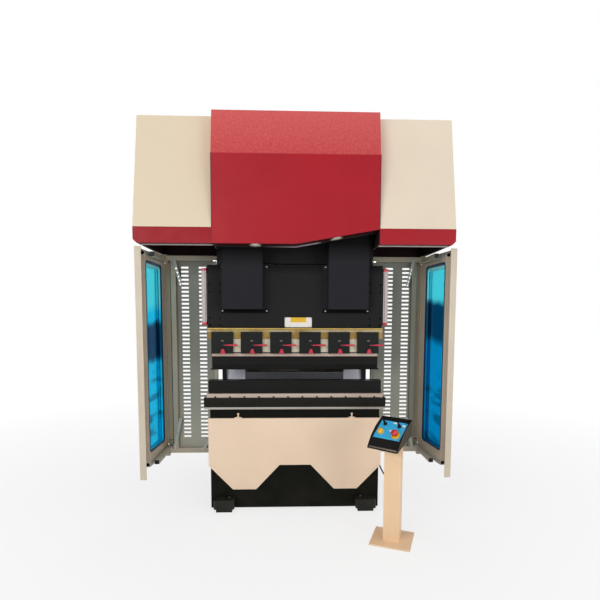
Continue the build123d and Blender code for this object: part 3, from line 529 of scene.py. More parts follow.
surface(
    "gauge_dark", srgb(112, 112, 118), rough=0.34, metallic=0.4, tone=0.10,
    streak=(0.04, 1.0, 5.0), wear=0.4, wear_colour=(0.45, 0.44, 0.42, 1),
)
surface(
    "console_black", srgb(16, 15, 14), rough=0.4, specular=0.12, tone=0.08, speck=0.10,
    wear=0.35, wear_colour=(0.16, 0.14, 0.12, 1), paint=cheek_paint,
)
surface(
    "console_blue", srgb(56, 182, 232), rough=0.30, tone=0.04, grain_strength=0.06,
    wear=0.2, wear_colour=srgb(150, 210, 245), coat=0.3,
)
surface(
    "strip_bronze", srgb(112, 102, 88), rough=0.35, metallic=0.5, tone=0.12, tone_scale=14.0,
    streak=(0.1, 1.0, 3.0), wear=0.3,
)
surface(
    "button_yellow", srgb(240, 184, 30), rough=0.3, tone=0.03, grain_strength=0.05,
    wear=0.1, coat=0.4,
)
surface(
    "button_red", srgb(206, 24, 30), rough=0.28, tone=0.03, grain_strength=0.05,
    wear=0.1, coat=0.4,
)
surface(
    "knob_black", srgb(15, 15, 17), rough=0.35, specular=0.2, tone=0.05,
    grain_strength=0.1, wear=0.2,
)
surface(
    "mark_white", srgb(240, 240, 240), rough=0.4, tone=0.02, grain_strength=0.05, wear=0.0,
)
surface(
    "slide_steel", srgb(190, 192, 192), rough=0.28, metallic=0.9, tone=0.06, wear=0.3,
    wear_colour=(0.8, 0.8, 0.8, 1),
)
surface(
    "screw_zinc", srgb(176, 176, 172), rough=0.34, metallic=0.8, tone=0.10, tone_scale=60,
    wear=0.3, wear_colour=(0.85, 0.85, 0.85, 1),
)
surface(
    "dot_white", srgb(250, 250, 246), rough=0.22, metallic=0.9, tone=0.03, tone_scale=60,
    grain_strength=0.1, wear=0.1,
)
surface(
    "button_dull", srgb(150, 14, 46), rough=0.4, specular=0.3, tone=0.06, grain_strength=0.08,
    wear=0.15,
)
surface(
    "screw_black", srgb(24, 24, 25), rough=0.35, metallic=0.3, tone=0.10, tone_scale=60,
    wear=0.5, wear_colour=(0.25, 0.25, 0.25, 1),
)
surface(
    "cable_black", srgb(26, 26, 26), rough=0.5, tone=0.08, tone_scale=30, grain=700,
    grain_strength=0.15, wear=0.1,
)
surface(
    "gasket_blue", srgb(8, 46, 84), rough=0.4, tone=0.08, grain_strength=0.1, wear=0.15,
)


def film_zones(t):
    """Where the blue film is dark, and how its tone changes along each window."""
    height = t.maths("ADD", t.part("Z"), t.ramp(t.noise(3.0, 3.0), 0.3, 0.7, -0.035, 0.035))
    off = t.maths("ABSOLUTE", t.maths("SUBTRACT", height, t.on_right(1.165, 1.320)))
    dark = t.ramp(off, 0.150, 0.100)
    patch = t.ramp(t.noise(5.0, 3.0, stretch=(1.0, 0.6, 2.4)), 0.50, 0.62, 0.0, 0.55)
    low = t.ramp(height, 1.02, 0.90)
    dark = t.maths("MAXIMUM", dark, t.times(patch, low))
    top = t.ramp(height, 1.36, 1.44)
    return dark, top


def film_colour(t, upper, left_low, right_low, deep):
    dark, top = film_zones(t)
    lower = t.mix(t.on_right(), left_low, right_low)
    return t.mix(dark, t.mix(top, lower, upper), deep)


def film_edge(t, base):
    """The film is carried round into the window's recess, so no base colour is left."""
    return film_colour(
        t, srgb(136, 246, 255), srgb(26, 226, 255), srgb(16, 142, 194), srgb(20, 104, 138)
    )


def window_film():
    """Blue film: part glossy coat, part tinted see-through, in bright and dark zones."""
    see_through = 0.68
    t = Tree("window_blue")
    coat = film_colour(
        t, srgb(120, 240, 255), srgb(0, 206, 255), srgb(0, 160, 214), srgb(0, 76, 112)
    )
    t.put(t.shader.inputs["Base Color"], coat)
    t.put(t.shader.inputs["Roughness"], t.ramp(t.noise(7.0, 4.0), 0.3, 0.7, 0.08, 0.16))
    t.shader.inputs["Specular IOR Level"].default_value = 0.06
    wave = t.noise(2.2, 1.0)
    bump = t.add("ShaderNodeBump", {"Height": wave, "Distance": 0.002, "Strength": 0.15})
    t.put(t.shader.inputs["Normal"], bump.outputs["Normal"])
    tint = film_colour(
        t, srgb(130, 246, 255), srgb(30, 232, 255), srgb(14, 200, 238), srgb(16, 136, 170)
    )
    clear = t.add("ShaderNodeBsdfTransparent", {"Color": tint})
    join = t.add("ShaderNodeMixShader", {"Fac": see_through})
    t.put(join.inputs[1], t.shader.outputs[0])
    t.put(join.inputs[2], clear.outputs[0])
    t.put(t.tree.nodes["Material Output"].inputs["Surface"], join.outputs[0])
    M["window_blue"] = t.mat


surface(
    "film_edge", srgb(18, 150, 200), rough=0.3, specular=0.2, tone=0.04, wear=0.05,
    paint=film_edge,
)
window_film()

for row in frame["record"]["subparts"]:
    node = nodes[row["node"]]
    node.data.materials.clear()
    node.data.materials.append(M[row["material_slot"]])
# Nodes whose look needs more than their slot's plain material
for name, material in {
    "centre_hood": "hood_red_folded",
    "rear_cover": "cover_beige",
    "ram_plate": "ram_black",
    "guard_arms": "arm_beige",
    "console_post": "post_peach",
    "guard_posts": "post_grey",
    "lamp_panel": "panel_under",
    "front_feet": "foot_black",
    "left_door": "door_beige",
    "right_door": "door_beige",
}.items():
    nodes[name].data.materials[0] = M[material]


def round_edges(name, width):
    """Real rounded edges on a CAD node that keeps its shape."""
    weld = nodes[name].modifiers.new("weld", "WELD")
    weld.merge_threshold = 0.00002
    bevel = nodes[name].modifiers.new("bevel", "BEVEL")
    bevel.width = width
    bevel.segments = 2
    bevel.limit_method = "ANGLE"
    bevel.angle_limit = math.radians(32)
    bevel.use_clamp_overlap = True
    bevel.harden_normals = True


FOLDED_SHEET = (
    "front_panel", "centre_hood", "left_hood", "right_hood", "left_hood_band",
    "right_hood_band", "guard_arms", "console_post",
)
MACHINED = (
    "clamp_blocks", "clamp_rail", "linear_scales", "console_box", "console_plate",
    "table_plate", "die_rail", "bed_plate", "gauge_sliders", "guard_posts",
)
for width, names in ((0.0022, FOLDED_SHEET), (0.0012, MACHINED)):
    for name in names:
        round_edges(name, width)


# Small pieces
def add_object(name, data):
    obj = bpy.data.objects.new(name, data)
    bpy.context.scene.collection.objects.link(obj)
    return obj


def finish_mesh(name, bm, mats, body, smooth=True):
    """Make the mesh a piece of its own that rides on a body."""
    mesh = bpy.data.meshes.new(name)
    bmesh.ops.recalc_face_normals(bm, faces=bm.faces[:])
    bm.to_mesh(mesh)
    bm.free()
    for mat in mats:
        mesh.materials.append(M[mat])
    obj = add_object(name, mesh)
    if smooth:
        mesh.shade_smooth()
        split = obj.modifiers.new("edges", "EDGE_SPLIT")
        split.split_angle = math.radians(35)
    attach(obj, body)
    return obj


def turned(bm, profile, at, axis, segments=24, hexed=(), mat=0):
    """Turn a list of (radius, height) about an axis. Steps listed in hexed are six-sided."""
    turn = Vector(axis).to_track_quat("Z", "Y").to_matrix()
    at = Vector(at)
    rings = []
    for step, (radius, height) in enumerate(profile):
        if radius == 0:
            rings.append([bm.verts.new(at + turn @ Vector((0, 0, height)))])
            continue
        ring = []
        for i in range(segments):
            angle = 2 * math.pi * i / segments
            r = radius
            if step in hexed:
                r = radius * math.cos(math.pi / 6) / math.cos(angle % (math.pi / 3) - math.pi / 6)
            place = Vector((r * math.cos(angle), r * math.sin(angle), height))
            ring.append(bm.verts.new(at + turn @ place))
        rings.append(ring)
    for low, high in zip(rings, rings[1:]):
        for i in range(segments):
            j = (i + 1) % segments
            if len(low) == 1:
                face = bm.faces.new((low[0], high[j], high[i]))
            elif len(high) == 1:
                face = bm.faces.new((low[i], low[j], high[0]))
            else:
                face = bm.faces.new((low[i], low[j], high[j], high[i]))
            face.material_index = mat


# Screw heads with a six-sided socket, as shares of their radius and height
CAP_HEAD = ((1, 0), (1, 0.75), (0.93, 0.94), (0.82, 1), (0.52, 1), (0.50, 0.4), (0, 0.35))
LOW_HEAD = ((1, 0), (1, 0.25), (0.86, 0.7), (0.62, 1), (0.40, 1), (0.38, 0.35), (0, 0.3))
SOCKET_STEPS = (4, 5)


def screw(bm, head, at, axis, radius, height, mat=0):
    profile = [(radius * wide, height * high) for wide, high in head]
    turned(bm, profile, at, axis, hexed=SOCKET_STEPS, mat=mat)


def once(items):
    """The items without repeats, in their own order."""
    return list(dict.fromkeys(items))


def block(bm, low, high, mat=0, bevel=0.0, segments=2, matrix=None):
    """Box with rounded edges."""
    low, high = Vector(low), Vector(high)
    made = bmesh.ops.create_cube(bm, size=1.0)
    verts = made["verts"]
    for v in verts:
        v.co = Vector(
            (low[i] + high[i]) / 2 + v.co[i] * (high[i] - low[i]) for i in range(3)
        )
    edges = once(e for v in verts for e in v.link_edges)
    faces = once(f for v in verts for f in v.link_faces)
    if bevel:
        out = bmesh.ops.bevel(
            bm, geom=edges, offset=bevel, segments=segments, affect="EDGES", profile=0.5
        )
        kept = [f for f in faces if f.is_valid]
        faces = once(kept + [f for v in out["verts"] for f in v.link_faces])
    for f in faces:
        f.material_index = mat
    if matrix is not None:
        bmesh.ops.transform(bm, matrix=matrix, verts=once(v for f in faces for v in f.verts))


def prism(bm, points, near, far, axis="Y", mat=0, bevel=0.0):
    """Extrude a flat outline between two values along an axis."""
    def place(a, b, c):
        return {"X": (c, a, b), "Y": (a, c, b)}[axis]
    first = [bm.verts.new(place(a, b, near)) for a, b in points]
    second = [bm.verts.new(place(a, b, far)) for a, b in points]
    faces = [bm.faces.new(first), bm.faces.new(list(reversed(second)))]
    count = len(points)
    for i in range(count):
        j = (i + 1) % count
        faces.append(bm.faces.new((first[i], first[j], second[j], second[i])))
    if bevel:
        edges = once(e for f in faces for e in f.edges)
        out = bmesh.ops.bevel(bm, geom=edges, offset=bevel, segments=2, affect="EDGES")
        faces = [f for f in faces if f.is_valid] + out["faces"]
    for f in faces:
        f.material_index = mat


# Covers on the ram: screws through their flanges
bm = bmesh.new()
for x in (-0.495, -0.195, 0.205, 0.495):
    for z in (1.389, 1.686):
        screw(bm, LOW_HEAD, (x, FLANGE_FRONT, z), FRONT, 0.0065, 0.004)
finish_mesh("cover_screws", bm, ["screw_zinc"], "ram")

# Clamps: an oval sunk screw in each
oval_right, oval_z, oval_wide, oval_high, oval_steps = 0.002, 1.187, 0.0105, 0.0055, 28
bm = bmesh.new()
for x in CLAMP_X:
    rims = []
    for grow, out in ((1.0, 0.0), (1.0, 0.0030), (0.86, 0.0045), (0.45, 0.0045), (0.40, 0.0020)):
        rim = []
        for i in range(oval_steps):
            angle = 2 * math.pi * i / oval_steps
            rim.append(bm.verts.new((
                x + oval_right + oval_wide * grow * math.cos(angle), CLAMP_FRONT - out,
                oval_z + oval_high * grow * math.sin(angle),
            )))
        rims.append(rim)
    for low, high in zip(rims, rims[1:]):
        for i in range(oval_steps):
            j = (i + 1) % oval_steps
            bm.faces.new((low[i], low[j], high[j], high[i]))
    bm.faces.new(rims[-1])
finish_mesh("clamp_screws", bm, ["strip_bronze"], "ram")

# Clamps: a lever with hub, stem and grip, and a wedge at the foot
lever_z, wedge_foot = 1.158, 1.1002
bm = bmesh.new()
for x in CLAMP_X:
    z = lever_z
    turned(
        bm, [(0.0085, 0), (0.0085, 0.007), (0.007, 0.0095), (0, 0.0105)],
        (x + 0.009, CLAMP_FRONT, z), FRONT, mat=1,
    )
    stem = [
        (x + 0.009, z - 0.0034), (x + 0.046, z - 0.0046), (x + 0.046, z + 0.0046),
        (x + 0.009, z + 0.0034),
    ]
    prism(bm, stem, CLAMP_FRONT - 0.0095, CLAMP_FRONT - 0.004, mat=1, bevel=0.001)
    grip = [
        (x + 0.040, z - 0.0048), (x + 0.070, z - 0.0057), (x + 0.100, z - 0.0060),
        (x + 0.1070, z - 0.0042), (x + 0.1088, z), (x + 0.1070, z + 0.0042),
        (x + 0.100, z + 0.0060), (x + 0.070, z + 0.0057), (x + 0.040, z + 0.0048),
    ]
    prism(bm, grip, CLAMP_FRONT - 0.0115, CLAMP_FRONT - 0.003, mat=0, bevel=0.0014)
    low, mid = wedge_foot, x + 0.006
    wedge = [
        (mid - 0.0178, low), (mid + 0.0178, low), (mid + 0.0150, low + 0.010),
        (mid + 0.0080, low + 0.033), (mid - 0.0080, low + 0.033), (mid - 0.0150, low + 0.010),
    ]
    prism(bm, wedge, CLAMP_FRONT - 0.0155, CLAMP_FRONT, mat=2, bevel=0.002)
levers = finish_mesh(
    "lever_set", bm, ["lever_red", "screw_black", "button_dull"], "ram"
)
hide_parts("clamp_levers")

# Blank plate: a rivet at each corner
bm = bmesh.new()
for x in (-0.0665, 0.1065):
    for z in (1.284, 1.339):
        screw(bm, LOW_HEAD, (x, RAM_FRONT - 0.002, z), FRONT, 0.0032, 0.0018)
finish_mesh("plate_rivets", bm, ["screw_zinc"], "ram")

# Covers: a folded edge line down each side of the boxes
cover_x, fold_out, fold_half, cover_front = 0.354, 0.1335, 0.0015, BEND - 0.1155
bm = bmesh.new()
for x in (-cover_x, cover_x):
    for side in SIDES:
        edge_x = x + side * fold_out
        block(
            bm, (edge_x - fold_half, cover_front - 0.0007, 1.402),
            (edge_x + fold_half, cover_front + 0.0007, 1.985), bevel=0.0005,
        )
finish_mesh("cover_folds", bm, ["cover_grey"], "ram")

# Table: screws in the holder
bm = bmesh.new()
for x in CLAMP_X:
    screw(bm, CAP_HEAD, (x, TABLE_FRONT + 0.016, 0.763), FRONT, 0.0068, 0.010)
finish_mesh("holder_screws", bm, ["screw_black"], "base")

# Front panel: two lifting hooks on its upper edge
hook_x, hook_y = 0.394, BEND - 0.058
bm = bmesh.new()
for x in (-hook_x, hook_x):
    foot = [
        (x - 0.027, PANEL_TOP), (x + 0.027, PANEL_TOP), (x + 0.025, PANEL_TOP + 0.0045),
        (x + 0.012, PANEL_TOP + 0.0080), (x - 0.012, PANEL_TOP + 0.0080),
        (x - 0.025, PANEL_TOP + 0.0045),
    ]
    prism(bm, foot, hook_y - 0.0065, hook_y + 0.0065, bevel=0.0012)
    turned(
        bm,
        [
            (0.0052, 0), (0.0052, 0.020), (0.0084, 0.022), (0.0084, 0.0265), (0.0068, 0.0290),
            (0, 0.0295),
        ],
        (x, hook_y, PANEL_TOP + 0.006), (0, 0, 1), 28,
    )
finish_mesh("panel_hooks", bm, ["panel_peach"], "base")

# Dark clamping screws in the notches of the die rail
bm = bmesh.new()
for i in range(RAIL_NOTCHES):
    x = (i - (RAIL_NOTCHES - 1) / 2) * NOTCH_PITCH
    block(
        bm, (x - 0.0055, BEND - 0.0535, 0.7935), (x + 0.0055, BEND - 0.0475, 0.8022),
        bevel=0.0008,
    )
finish_mesh("notch_screws", bm, ["screw_black"], "base")

# Feet: six-sided heads on the jack screws
bm = bmesh.new()
for side in SIDES:
    turned(
        bm, [(0.0088, 0), (0.0088, 0.0005), (0.0088, 0.0105), (0.0075, 0.0122), (0, 0.0124)],
        (side * 0.458, BEND - 0.080, FOOT_TOP), (0, 0, 1), hexed=(1, 2),
    )
finish_mesh("jack_heads", bm, ["screw_zinc"], "base")

# Lamps under the middle hood, a domed glass in a ring each: the right one lies on the slope
lamp_x, lamp_y = 0.262, HOOD_FRONT + 0.005 + 0.049
rise = 0.094 / 0.534
bm = bmesh.new()
for at, down in (
    ((-lamp_x, lamp_y, HOOD_LOW), Vector((0, 0, -1))),
    ((lamp_x, lamp_y, HOOD_LOW + lamp_x * rise), Vector((rise, 0, -1)).normalized()),
):
    turned(
        bm, [(0.044, 0), (0.044, 0.003), (0.0425, 0.0045), (0.039, 0.0045), (0.039, 0.0)],
        at, down, 40, mat=1,
    )
    turned(
        bm, [(0.039, 0.0002), (0.037, 0.0045), (0.028, 0.0075), (0.014, 0.0088), (0, 0.009)],
        at, down, 40,
    )
lamps = finish_mesh("lamp_glasses", bm, ["lamp_cream", "slide_steel"], "base")
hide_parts("hood_lamps")

# Scales: red end caps and a dark seal slot down the front
bm = bmesh.new()
for side in SIDES:
    x1, x2 = sorted((side * 0.6035, side * 0.6355))
    for z1, z2 in ((1.2925, 1.311), (1.658, 1.6765)):
        block(bm, (x1, RAM_FRONT - 0.0005, z1), (x2, RAM_FRONT + 0.0345, z2), bevel=0.001)
    mid = side * 0.6115
    block(
        bm, (mid - 0.0012, RAM_FRONT - 0.0003, 1.314), (mid + 0.0012, RAM_FRONT + 0.002, 1.655),
        mat=1,
    )
finish_mesh("scale_caps", bm, ["lever_red", "screw_black"], "base")

# Guard arms: a square plug with a round boss in the front end of each
arm_x, plug_half = 0.945, 0.0148
bm = bmesh.new()
for side in SIDES:
    for z in (1.760, 0.358):
        x = side * arm_x
        block(
            bm, (x - plug_half, BEND - 0.1035, z - plug_half),
            (x + plug_half, BEND - 0.0995, z + plug_half), bevel=0.0018, segments=3,
        )
        turned(
            bm, [(0.0055, 0), (0.0055, 0.0012), (0, 0.0016)],
            (x, BEND - 0.1034, z), FRONT, 20,
        )
finish_mesh("arm_plugs", bm, ["knob_black"], "base")

# Folded strips down the outer side of the corner tubes, close behind the door leaves
bm = bmesh.new()
for side in SIDES:
    x1, x2 = sorted((side * 0.9601, side * 0.9657))
    block(bm, (x1, BEND + 0.2885, 0.376), (x2, BEND + 0.318, 1.742), bevel=0.0008)
finish_mesh("corner_strips", bm, ["guard_beige"], "base")

# Guard rails and braces: bright clips at the inner upper end, screws along the braces
bm = bmesh.new()
for side in SIDES:
    for inner, outer, z1, z2 in ((0.5385, 0.5655, 1.7295, 1.7515), (0.5600, 0.5920, 1.7460, 1.7610)):
        x1, x2 = sorted((side * inner, side * outer))
        block(bm, (x1, RAIL_Y - 0.003, z1), (x2, RAIL_Y + 0.0005, z2), mat=1, bevel=0.001)
    for x in (0.545, 0.559):
        screw(bm, CAP_HEAD, (side * x, RAIL_Y - 0.003, 1.740), FRONT, 0.005, 0.004)
    for z in (1.694, 1.665, 1.637, 1.608, 1.581):
        x = side * (0.873 - 0.2449 * (1.7675 - z))
        screw(bm, LOW_HEAD, (x, RAIL_Y - 0.004, z), FRONT, 0.0066, 0.004, mat=1)
    for share in (0.0, 0.5, 0.95):
        x = side * (0.894 - 0.050 * share)
        screw(bm, LOW_HEAD, (x, RAIL_Y - 0.004, 0.366 + 0.225 * share), FRONT, 0.0050, 0.0035)
    for share in (0.0, 0.95):
        x = side * (0.681 - 0.096 * share)
        screw(bm, LOW_HEAD, (x, RAIL_Y - 0.004, 0.366 + 0.150 * share), FRONT, 0.0050, 0.0035)
finish_mesh("guard_brackets", bm, ["screw_zinc", "dot_white"], "base")


def window_ring(rear, front, low, top, radius):
    """Outline round a window, with rounded corners, as (along the door, height)."""
    steps = 6
    points = []
    for cx, cz, start in (
        (front - radius, top - radius, 0), (rear + radius, top - radius, 90),
        (rear + radius, low + radius, 180), (front - radius, low + radius, 270),
    ):
        for i in range(steps + 1):
            angle = math.radians(start + 90 * i / steps)
            points.append((cx + radius * math.cos(angle), cz + radius * math.sin(angle)))
    return points


# Gasket section: how far it grows past the window's outline, and its share of the lift
GASKET = ((0.004, 0.0), (0.0035, 0.7), (0.001, 1.0), (-0.007, 1.0), (-0.010, 0.2))
# Recess behind the gasket: depth, and the outline there
RECESS = (
    (0.007, window_ring(0.080, 0.358, 0.432, 1.704, 0.018)),
    (0.018, window_ring(0.080, 0.344, 0.432, 1.682, 0.016)),
)


def door_frame(side, opened):
    """Frame of an opened door: along the leaf, out from it, and up, from its hinge."""
    along = Vector((side * math.sin(opened), -math.cos(opened), 0))
    out = Vector((side * math.cos(opened), math.sin(opened), 0))
    hinge = Vector((side * HINGE_X, HINGE_Y, 0))
    turn = Matrix((along, out, Vector((0, 0, 1)))).transposed().to_4x4()
    return Matrix.Translation(hinge) @ turn, along


def gasket_ring(bm, place, face_out, lift):
    """Gasket round one face of the window, and the film that lines its recess."""
    rows = []
    for grow, rise in GASKET:
        ring = window_ring(0.070 - grow, 0.368 + grow, 0.421 - grow, 1.720 + grow, 0.028 + grow)
        rows.append([(a, face_out + lift * rise, z) for a, z in ring])
    inward = -1 if lift > 0 else 1
    for depth, ring in RECESS:
        rows.append([(a, face_out + inward * depth, z) for a, z in ring])
    rows = [[bm.verts.new(place @ Vector(at)) for at in row] for row in rows]
    for first, second in zip(rows, rows[1:]):
        for i in range(len(first)):
            j = (i + 1) % len(first)
            face = bm.faces.new((first[i], first[j], second[j], second[i]))
            face.material_index = 1 if second is rows[-1] else 0


for name, side, opened in (("left", -1, LEFT_OPEN), ("right", 1, RIGHT_OPEN)):
    place, along = door_frame(side, opened)
    bm = bmesh.new()
    for face_out, lift in ((0.035, 0.0022), (-0.009, -0.0018)):
        gasket_ring(bm, place, face_out, lift)
    finish_mesh(
        f"{name}_gasket", bm, ["gasket_blue", "film_edge"], f"{name}_door"
    )

    bm = bmesh.new()
    for z in (1.767, 0.340):
        turned(
            bm,
            [(0.0125, 0), (0.0125, 0.003), (0.0105, 0.0045), (0.006, 0.0050), (0, 0.0050)],
            place @ Vector((0.383, 0.004, z)), along, 28,
        )
    finish_mesh(f"{name}_door_plugs", bm, ["knob_black"], f"{name}_door")

    # A pale trim angle along the inner lower and upper edge of the leaf
    bm = bmesh.new()
    for z1, z2 in ((0.3245, 0.352), (1.754, 1.7815)):
        block(bm, (0.036, -0.0125, z1), (0.378, -0.0088, z2), bevel=0.001, matrix=place)
    finish_mesh(f"{name}_door_trim", bm, ["guard_light"], f"{name}_door")

# Console: the box's own frame at its rear, and the plate's at the middle of its blue face
box_deep, box_rear_top, box_front_top = 0.145, 0.732, 0.6255
plate_ahead, plate_thick = 0.087, 0.003
slope = (box_rear_top - box_front_top) / box_deep
rear_mid = Vector((0.622, BEND - 0.420, 0))
right = Vector((math.cos(CONSOLE_YAW), -math.sin(CONSOLE_YAW), 0))
level_back = Vector((math.sin(CONSOLE_YAW), math.cos(CONSOLE_YAW), 0))
back = (level_back + Vector((0, 0, slope))).normalized()
face_up = right.cross(back)
plate_z = box_rear_top - plate_ahead * slope + plate_thick
plate_at = rear_mid - level_back * plate_ahead + Vector((0, 0, plate_z))
plate_frame = Matrix.Translation(plate_at) @ Matrix((right, back, face_up)).transposed().to_4x4()
box_frame = Matrix.Translation(rear_mid) @ Matrix(
    (right, level_back, Vector((0, 0, 1)))
).transposed().to_4x4()


def on_plate(across, along, height=0.0):
    return plate_frame @ Vector((across, along, height))


# Buttons: two black knobs, a yellow dome, and a red stop button on a yellow ring
stop_at = on_plate(0.049, -0.034)
bm = bmesh.new()
for across, along in ((-0.051, 0.039), (0.046, 0.035)):
    turned(
        bm,
        [
            (0.0120, 0), (0.0120, 0.004), (0.0105, 0.0058), (0.0086, 0.0070), (0.0050, 0.0345),
            (0.0036, 0.0374), (0, 0.0380),
        ],
        on_plate(across, along), face_up, 32, mat=2,
    )
turned(
    bm,
    [
        (0.0210, 0), (0.0210, 0.004), (0.0195, 0.0055), (0.0190, 0.009), (0.0168, 0.0145),
        (0.0120, 0.0185), (0.0060, 0.0205), (0, 0.0210),
    ],
    on_plate(-0.055, -0.023), face_up, 40,
)
turned(
    bm, [(0.0268, 0), (0.0268, 0.003), (0.0252, 0.0055), (0.0240, 0.0090), (0.0120, 0.0090)],
    stop_at, face_up, 40,
)
turned(
    bm,
    [
        (0.0120, 0.0085), (0.0118, 0.0195), (0.0200, 0.0215), (0.0220, 0.0245), (0.0218, 0.0295),
        (0.0190, 0.0335), (0.0125, 0.0360), (0.0060, 0.0369), (0, 0.0370),
    ],
    stop_at, face_up, 40, mat=1,
)
buttons = finish_mesh(
    "button_set", bm, ["button_yellow", "button_red", "knob_black"], "base"
)
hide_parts("console_buttons")

# Plain oval marks beside the buttons
mark_steps, mark_lift = 28, 0.0005
bm = bmesh.new()
for across, along, wide, high in (
    (0.010, 0.057, 0.015, 0.006), (0.070, 0.046, 0.011, 0.008), (0.008, -0.006, 0.014, 0.006),
):
    rim = []
    for i in range(mark_steps):
        angle = 2 * math.pi * i / mark_steps
        at = on_plate(across + wide * math.cos(angle), along + high * math.sin(angle), mark_lift)
        rim.append(bm.verts.new(at))
    bm.faces.new(rim)
finish_mesh("console_marks", bm, ["mark_white"], "base", smooth=False)

# Screws of the plate
bm = bmesh.new()
for across in (-0.081, 0.081):
    for along in (-0.062, 0.064):
        screw(bm, LOW_HEAD, on_plate(across, along), face_up, 0.0036, 0.0022)
finish_mesh("console_screws", bm, ["screw_black"], "base")

# A bright strip along the foot of the box's sloped nose
nose_run, nose_drop = 0.043, 0.0585
nose = math.hypot(nose_run, nose_drop)
run, drop = nose_run / nose, nose_drop / nose
nose_turn = Matrix(((1, 0, 0), (0, run, -drop), (0, drop, run))).to_4x4()
nose_frame = box_frame @ Matrix.Translation((0, -box_deep, box_front_top)) @ nose_turn
bm = bmesh.new()
block(bm, (-0.091, -0.064, -0.0008), (0.091, -0.055, 0.0010), bevel=0.0004, matrix=nose_frame)
finish_mesh("console_strip", bm, ["strip_bronze"], "base")

# Cable: the route of the CAD source in metres
post_at = rear_mid + right * 0.0305 - level_back * 0.095
post_back = Vector((math.sin(POST_YAW), math.cos(POST_YAW), 0))
gland_at = post_at + post_back * 0.0485 + Vector((0, 0, 0.308))
gland_long, cable_radius = 0.022, 0.005
ROUTE = [
    (0.600, BEND + 0.163, 0.353), (0.600, BEND + 0.105, 0.353), (0.599, BEND + 0.035, 0.330),
    (0.598, BEND - 0.042, 0.303), (0.597, BEND - 0.120, 0.296), (0.596, BEND - 0.195, 0.296),
    (0.600, BEND - 0.265, 0.301), (0.616, BEND - 0.335, 0.305), (0.6267, BEND - 0.4016, 0.308),
    tuple(gland_at + post_back * gland_long),
]
curve = bpy.data.curves.new("cable_line", "CURVE")
curve.dimensions = "3D"
curve.bevel_depth = cable_radius
curve.bevel_resolution = 6
curve.resolution_u = 10
spline = curve.splines.new("NURBS")
spline.points.add(len(ROUTE) - 1)
for point, co in zip(spline.points, ROUTE):
    point.co = (*co, 1.0)
spline.order_u = 3
spline.use_endpoint_u = True
curve.materials.append(M["cable_black"])
cable = add_object("cable", curve)
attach(cable, "base")
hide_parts("console_cable")

# Cable glands with six-sided collars, on the guard rail and on the post
bm = bmesh.new()
gland = [
    (0.0098, 0), (0.0098, 0.002), (0.0090, 0.0022), (0.0090, 0.0085), (0.0078, 0.0095),
    (0.0085, 0.0100), (0.0082, 0.0160), (0.0066, 0.0205), (0.0052, 0.0220), (0.0048, 0.0215),
]
turned(bm, gland, (0.600, RAIL_Y, 0.353), FRONT, hexed=(2, 3))
turned(bm, gland, gland_at, post_back, hexed=(2, 3))
glands = finish_mesh("gland_set", bm, ["knob_black"], "base")
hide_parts("cable_glands")

# Hood: rolled lip under each side hood, pale where the paint catches the light
bm = bmesh.new()
for side in SIDES:
    x1, x2 = sorted((side * (HOOD_HALF + 0.0009), side * 0.986))
    block(bm, (x1, HOOD_FRONT + 0.0385, 1.8030), (x2, HOOD_FRONT + 0.0405, 1.8165), bevel=0.0006)
finish_mesh("hood_lips", bm, ["lip_grey"], "base")

# Dark gasket strips in the seams between the hoods
seam_half, seam_low, seam_top = 0.0016, HOOD_LOW + 0.001, HOOD_FOLD + 0.004
seam = [
    (HOOD_FRONT - 0.0012, seam_low), (HOOD_FRONT - 0.0012, seam_top),
    (HOOD_FRONT + 0.004, seam_top), (HOOD_FRONT + 0.004, seam_low),
]
bm = bmesh.new()
for side in SIDES:
    prism(bm, seam, side * HOOD_HALF - seam_half, side * HOOD_HALF + seam_half, "X")
finish_mesh("hood_seams", bm, ["screw_black"], "base")


# Room: pale floor, white surround, soft lamps
def seen_directly(tree):
    """1 for the camera and for rays off gloss or through glass, 0 for the light on the object."""
    path = tree.nodes.new("ShaderNodeLightPath")
    seen = path.outputs["Is Camera Ray"]
    for name in ("Is Glossy Ray", "Is Transmission Ray"):
        join = tree.nodes.new("ShaderNodeMath")
        join.operation = "MAXIMUM"
        tree.links.new(seen, join.inputs[0])
        tree.links.new(path.outputs[name], join.inputs[1])
        seen = join.outputs[0]
    return seen


WHITE = (1, 1, 1, 1)
floor_tree = Tree("floor_pale")
shade = floor_tree.ramp(floor_tree.noise(0.7, 3.0), 0.3, 0.7)
floor_tree.put(
    floor_tree.shader.inputs["Base Color"],
    floor_tree.mix(shade, (0.83, 0.83, 0.825, 1), (0.86, 0.86, 0.855, 1)),
)
floor_tree.shader.inputs["Roughness"].default_value = 0.8
floor_tree.shader.inputs["Specular IOR Level"].default_value = 0.1
# The floor glows more away from the object, so that it runs into the white surround
glow = floor_tree.add("ShaderNodeEmission", {"Color": WHITE, "Strength": 1.0})
spread = floor_tree.add("ShaderNodeVectorMath", operation="LENGTH")
floor_tree.put(spread.inputs[0], floor_tree.coord)
glowing = floor_tree.times(
    seen_directly(floor_tree.tree), floor_tree.ramp(spread.outputs["Value"], 1.4, 4.5, 0.74, 1.0)
)
mixed = floor_tree.add("ShaderNodeMixShader", {"Fac": glowing})
floor_tree.put(mixed.inputs[1], floor_tree.shader.outputs[0])
floor_tree.put(mixed.inputs[2], glow.outputs[0])
output = floor_tree.tree.nodes["Material Output"]
floor_tree.put(output.inputs["Surface"], mixed.outputs[0])
FLOOR_HALF, FLOOR_Z = 60, -0.001
floor_mesh = bpy.data.meshes.new("floor")
corners = [
    (x * FLOOR_HALF, y * FLOOR_HALF, FLOOR_Z) for x, y in ((-1, -1), (1, -1), (1, 1), (-1, 1))
]
floor_mesh.from_pydata(corners, [], [(0, 1, 2, 3)])
floor_mesh.materials.append(floor_tree.mat)
floor = add_object("floor", floor_mesh)

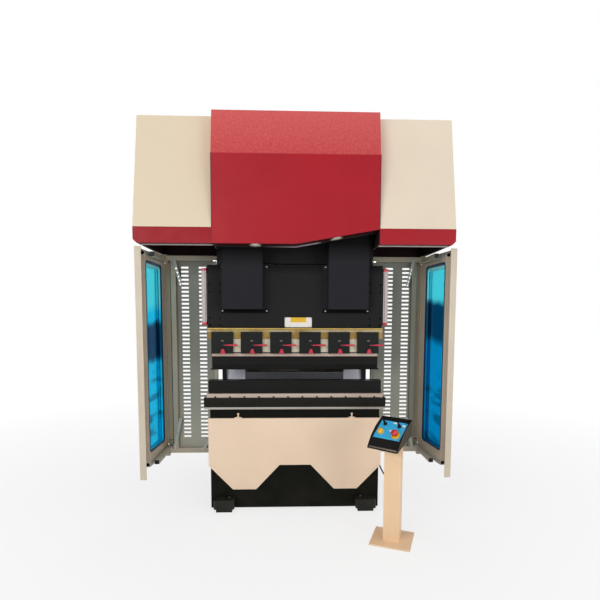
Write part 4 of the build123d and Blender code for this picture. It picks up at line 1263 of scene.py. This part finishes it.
world = bpy.data.worlds.new("room")
bpy.context.scene.world = world
world.use_nodes = True
wt = world.node_tree
white = wt.nodes.new("ShaderNodeBackground")
white.inputs["Color"].default_value = WHITE
white.inputs["Strength"].default_value = 1.0
soft = wt.nodes["Background"]
soft.inputs["Color"].default_value = (0.97, 0.98, 1.0, 1)
soft.inputs["Strength"].default_value = 0.42
blend = wt.nodes.new("ShaderNodeMixShader")
wt.links.new(seen_directly(wt), blend.inputs["Fac"])
wt.links.new(soft.outputs[0], blend.inputs[1])
wt.links.new(white.outputs[0], blend.inputs[2])
wt.links.new(blend.outputs[0], wt.nodes["World Output"].inputs["Surface"])


def lamp(name, at, target, size, power):
    data = bpy.data.lights.new(name, "AREA")
    data.shape = "RECTANGLE"
    data.size, data.size_y = size
    data.energy = power
    obj = add_object(name, data)
    obj.location = at
    obj.rotation_euler = (Vector(target) - Vector(at)).to_track_quat("-Z", "Y").to_euler()


lamp("key", (-2.6, -5.2, 2.9), (0, -0.4, 1.2), (2.6, 2.2), 102)
lamp("fill", (3.4, -4.8, 1.6), (0.2, -0.4, 1.0), (2.6, 2.6), 62)
lamp("top", (0, -0.8, 6.0), (0, 0, 1.0), (4.0, 3.0), 60)
lamp("rear", (0.5, 5.0, 3.6), (0, 0.2, 1.3), (3.0, 2.4), 70)

# Camera, fitted to about fifty points of the photograph
photo_pixels, focal_pixels, horizon_pixel = 600, 449.3, 354.54
camera_data = bpy.data.cameras.new("camera")
camera_data.sensor_width = 36.0
camera_data.lens = focal_pixels / photo_pixels * camera_data.sensor_width
camera_data.shift_y = (horizon_pixel - photo_pixels / 2) / photo_pixels
camera = add_object("camera", camera_data)
camera.location = (-0.06601, BEND - 3.12672, 1.35063)
yaw, pitch, roll = math.radians(1.83), math.radians(-4.82), math.radians(0.17)
ahead = Vector((math.sin(yaw) * math.cos(pitch), math.cos(yaw) * math.cos(pitch), math.sin(pitch)))
level = Vector((math.cos(yaw), -math.sin(yaw), 0))
upward = level.cross(ahead)
cam_right = level * math.cos(roll) + upward * math.sin(roll)
cam_up = cam_right.cross(ahead)
camera.rotation_euler = Matrix((cam_right, cam_up, -ahead)).transposed().to_euler()
bpy.context.scene.camera = camera
bpy.context.scene.view_settings.view_transform = "Standard"
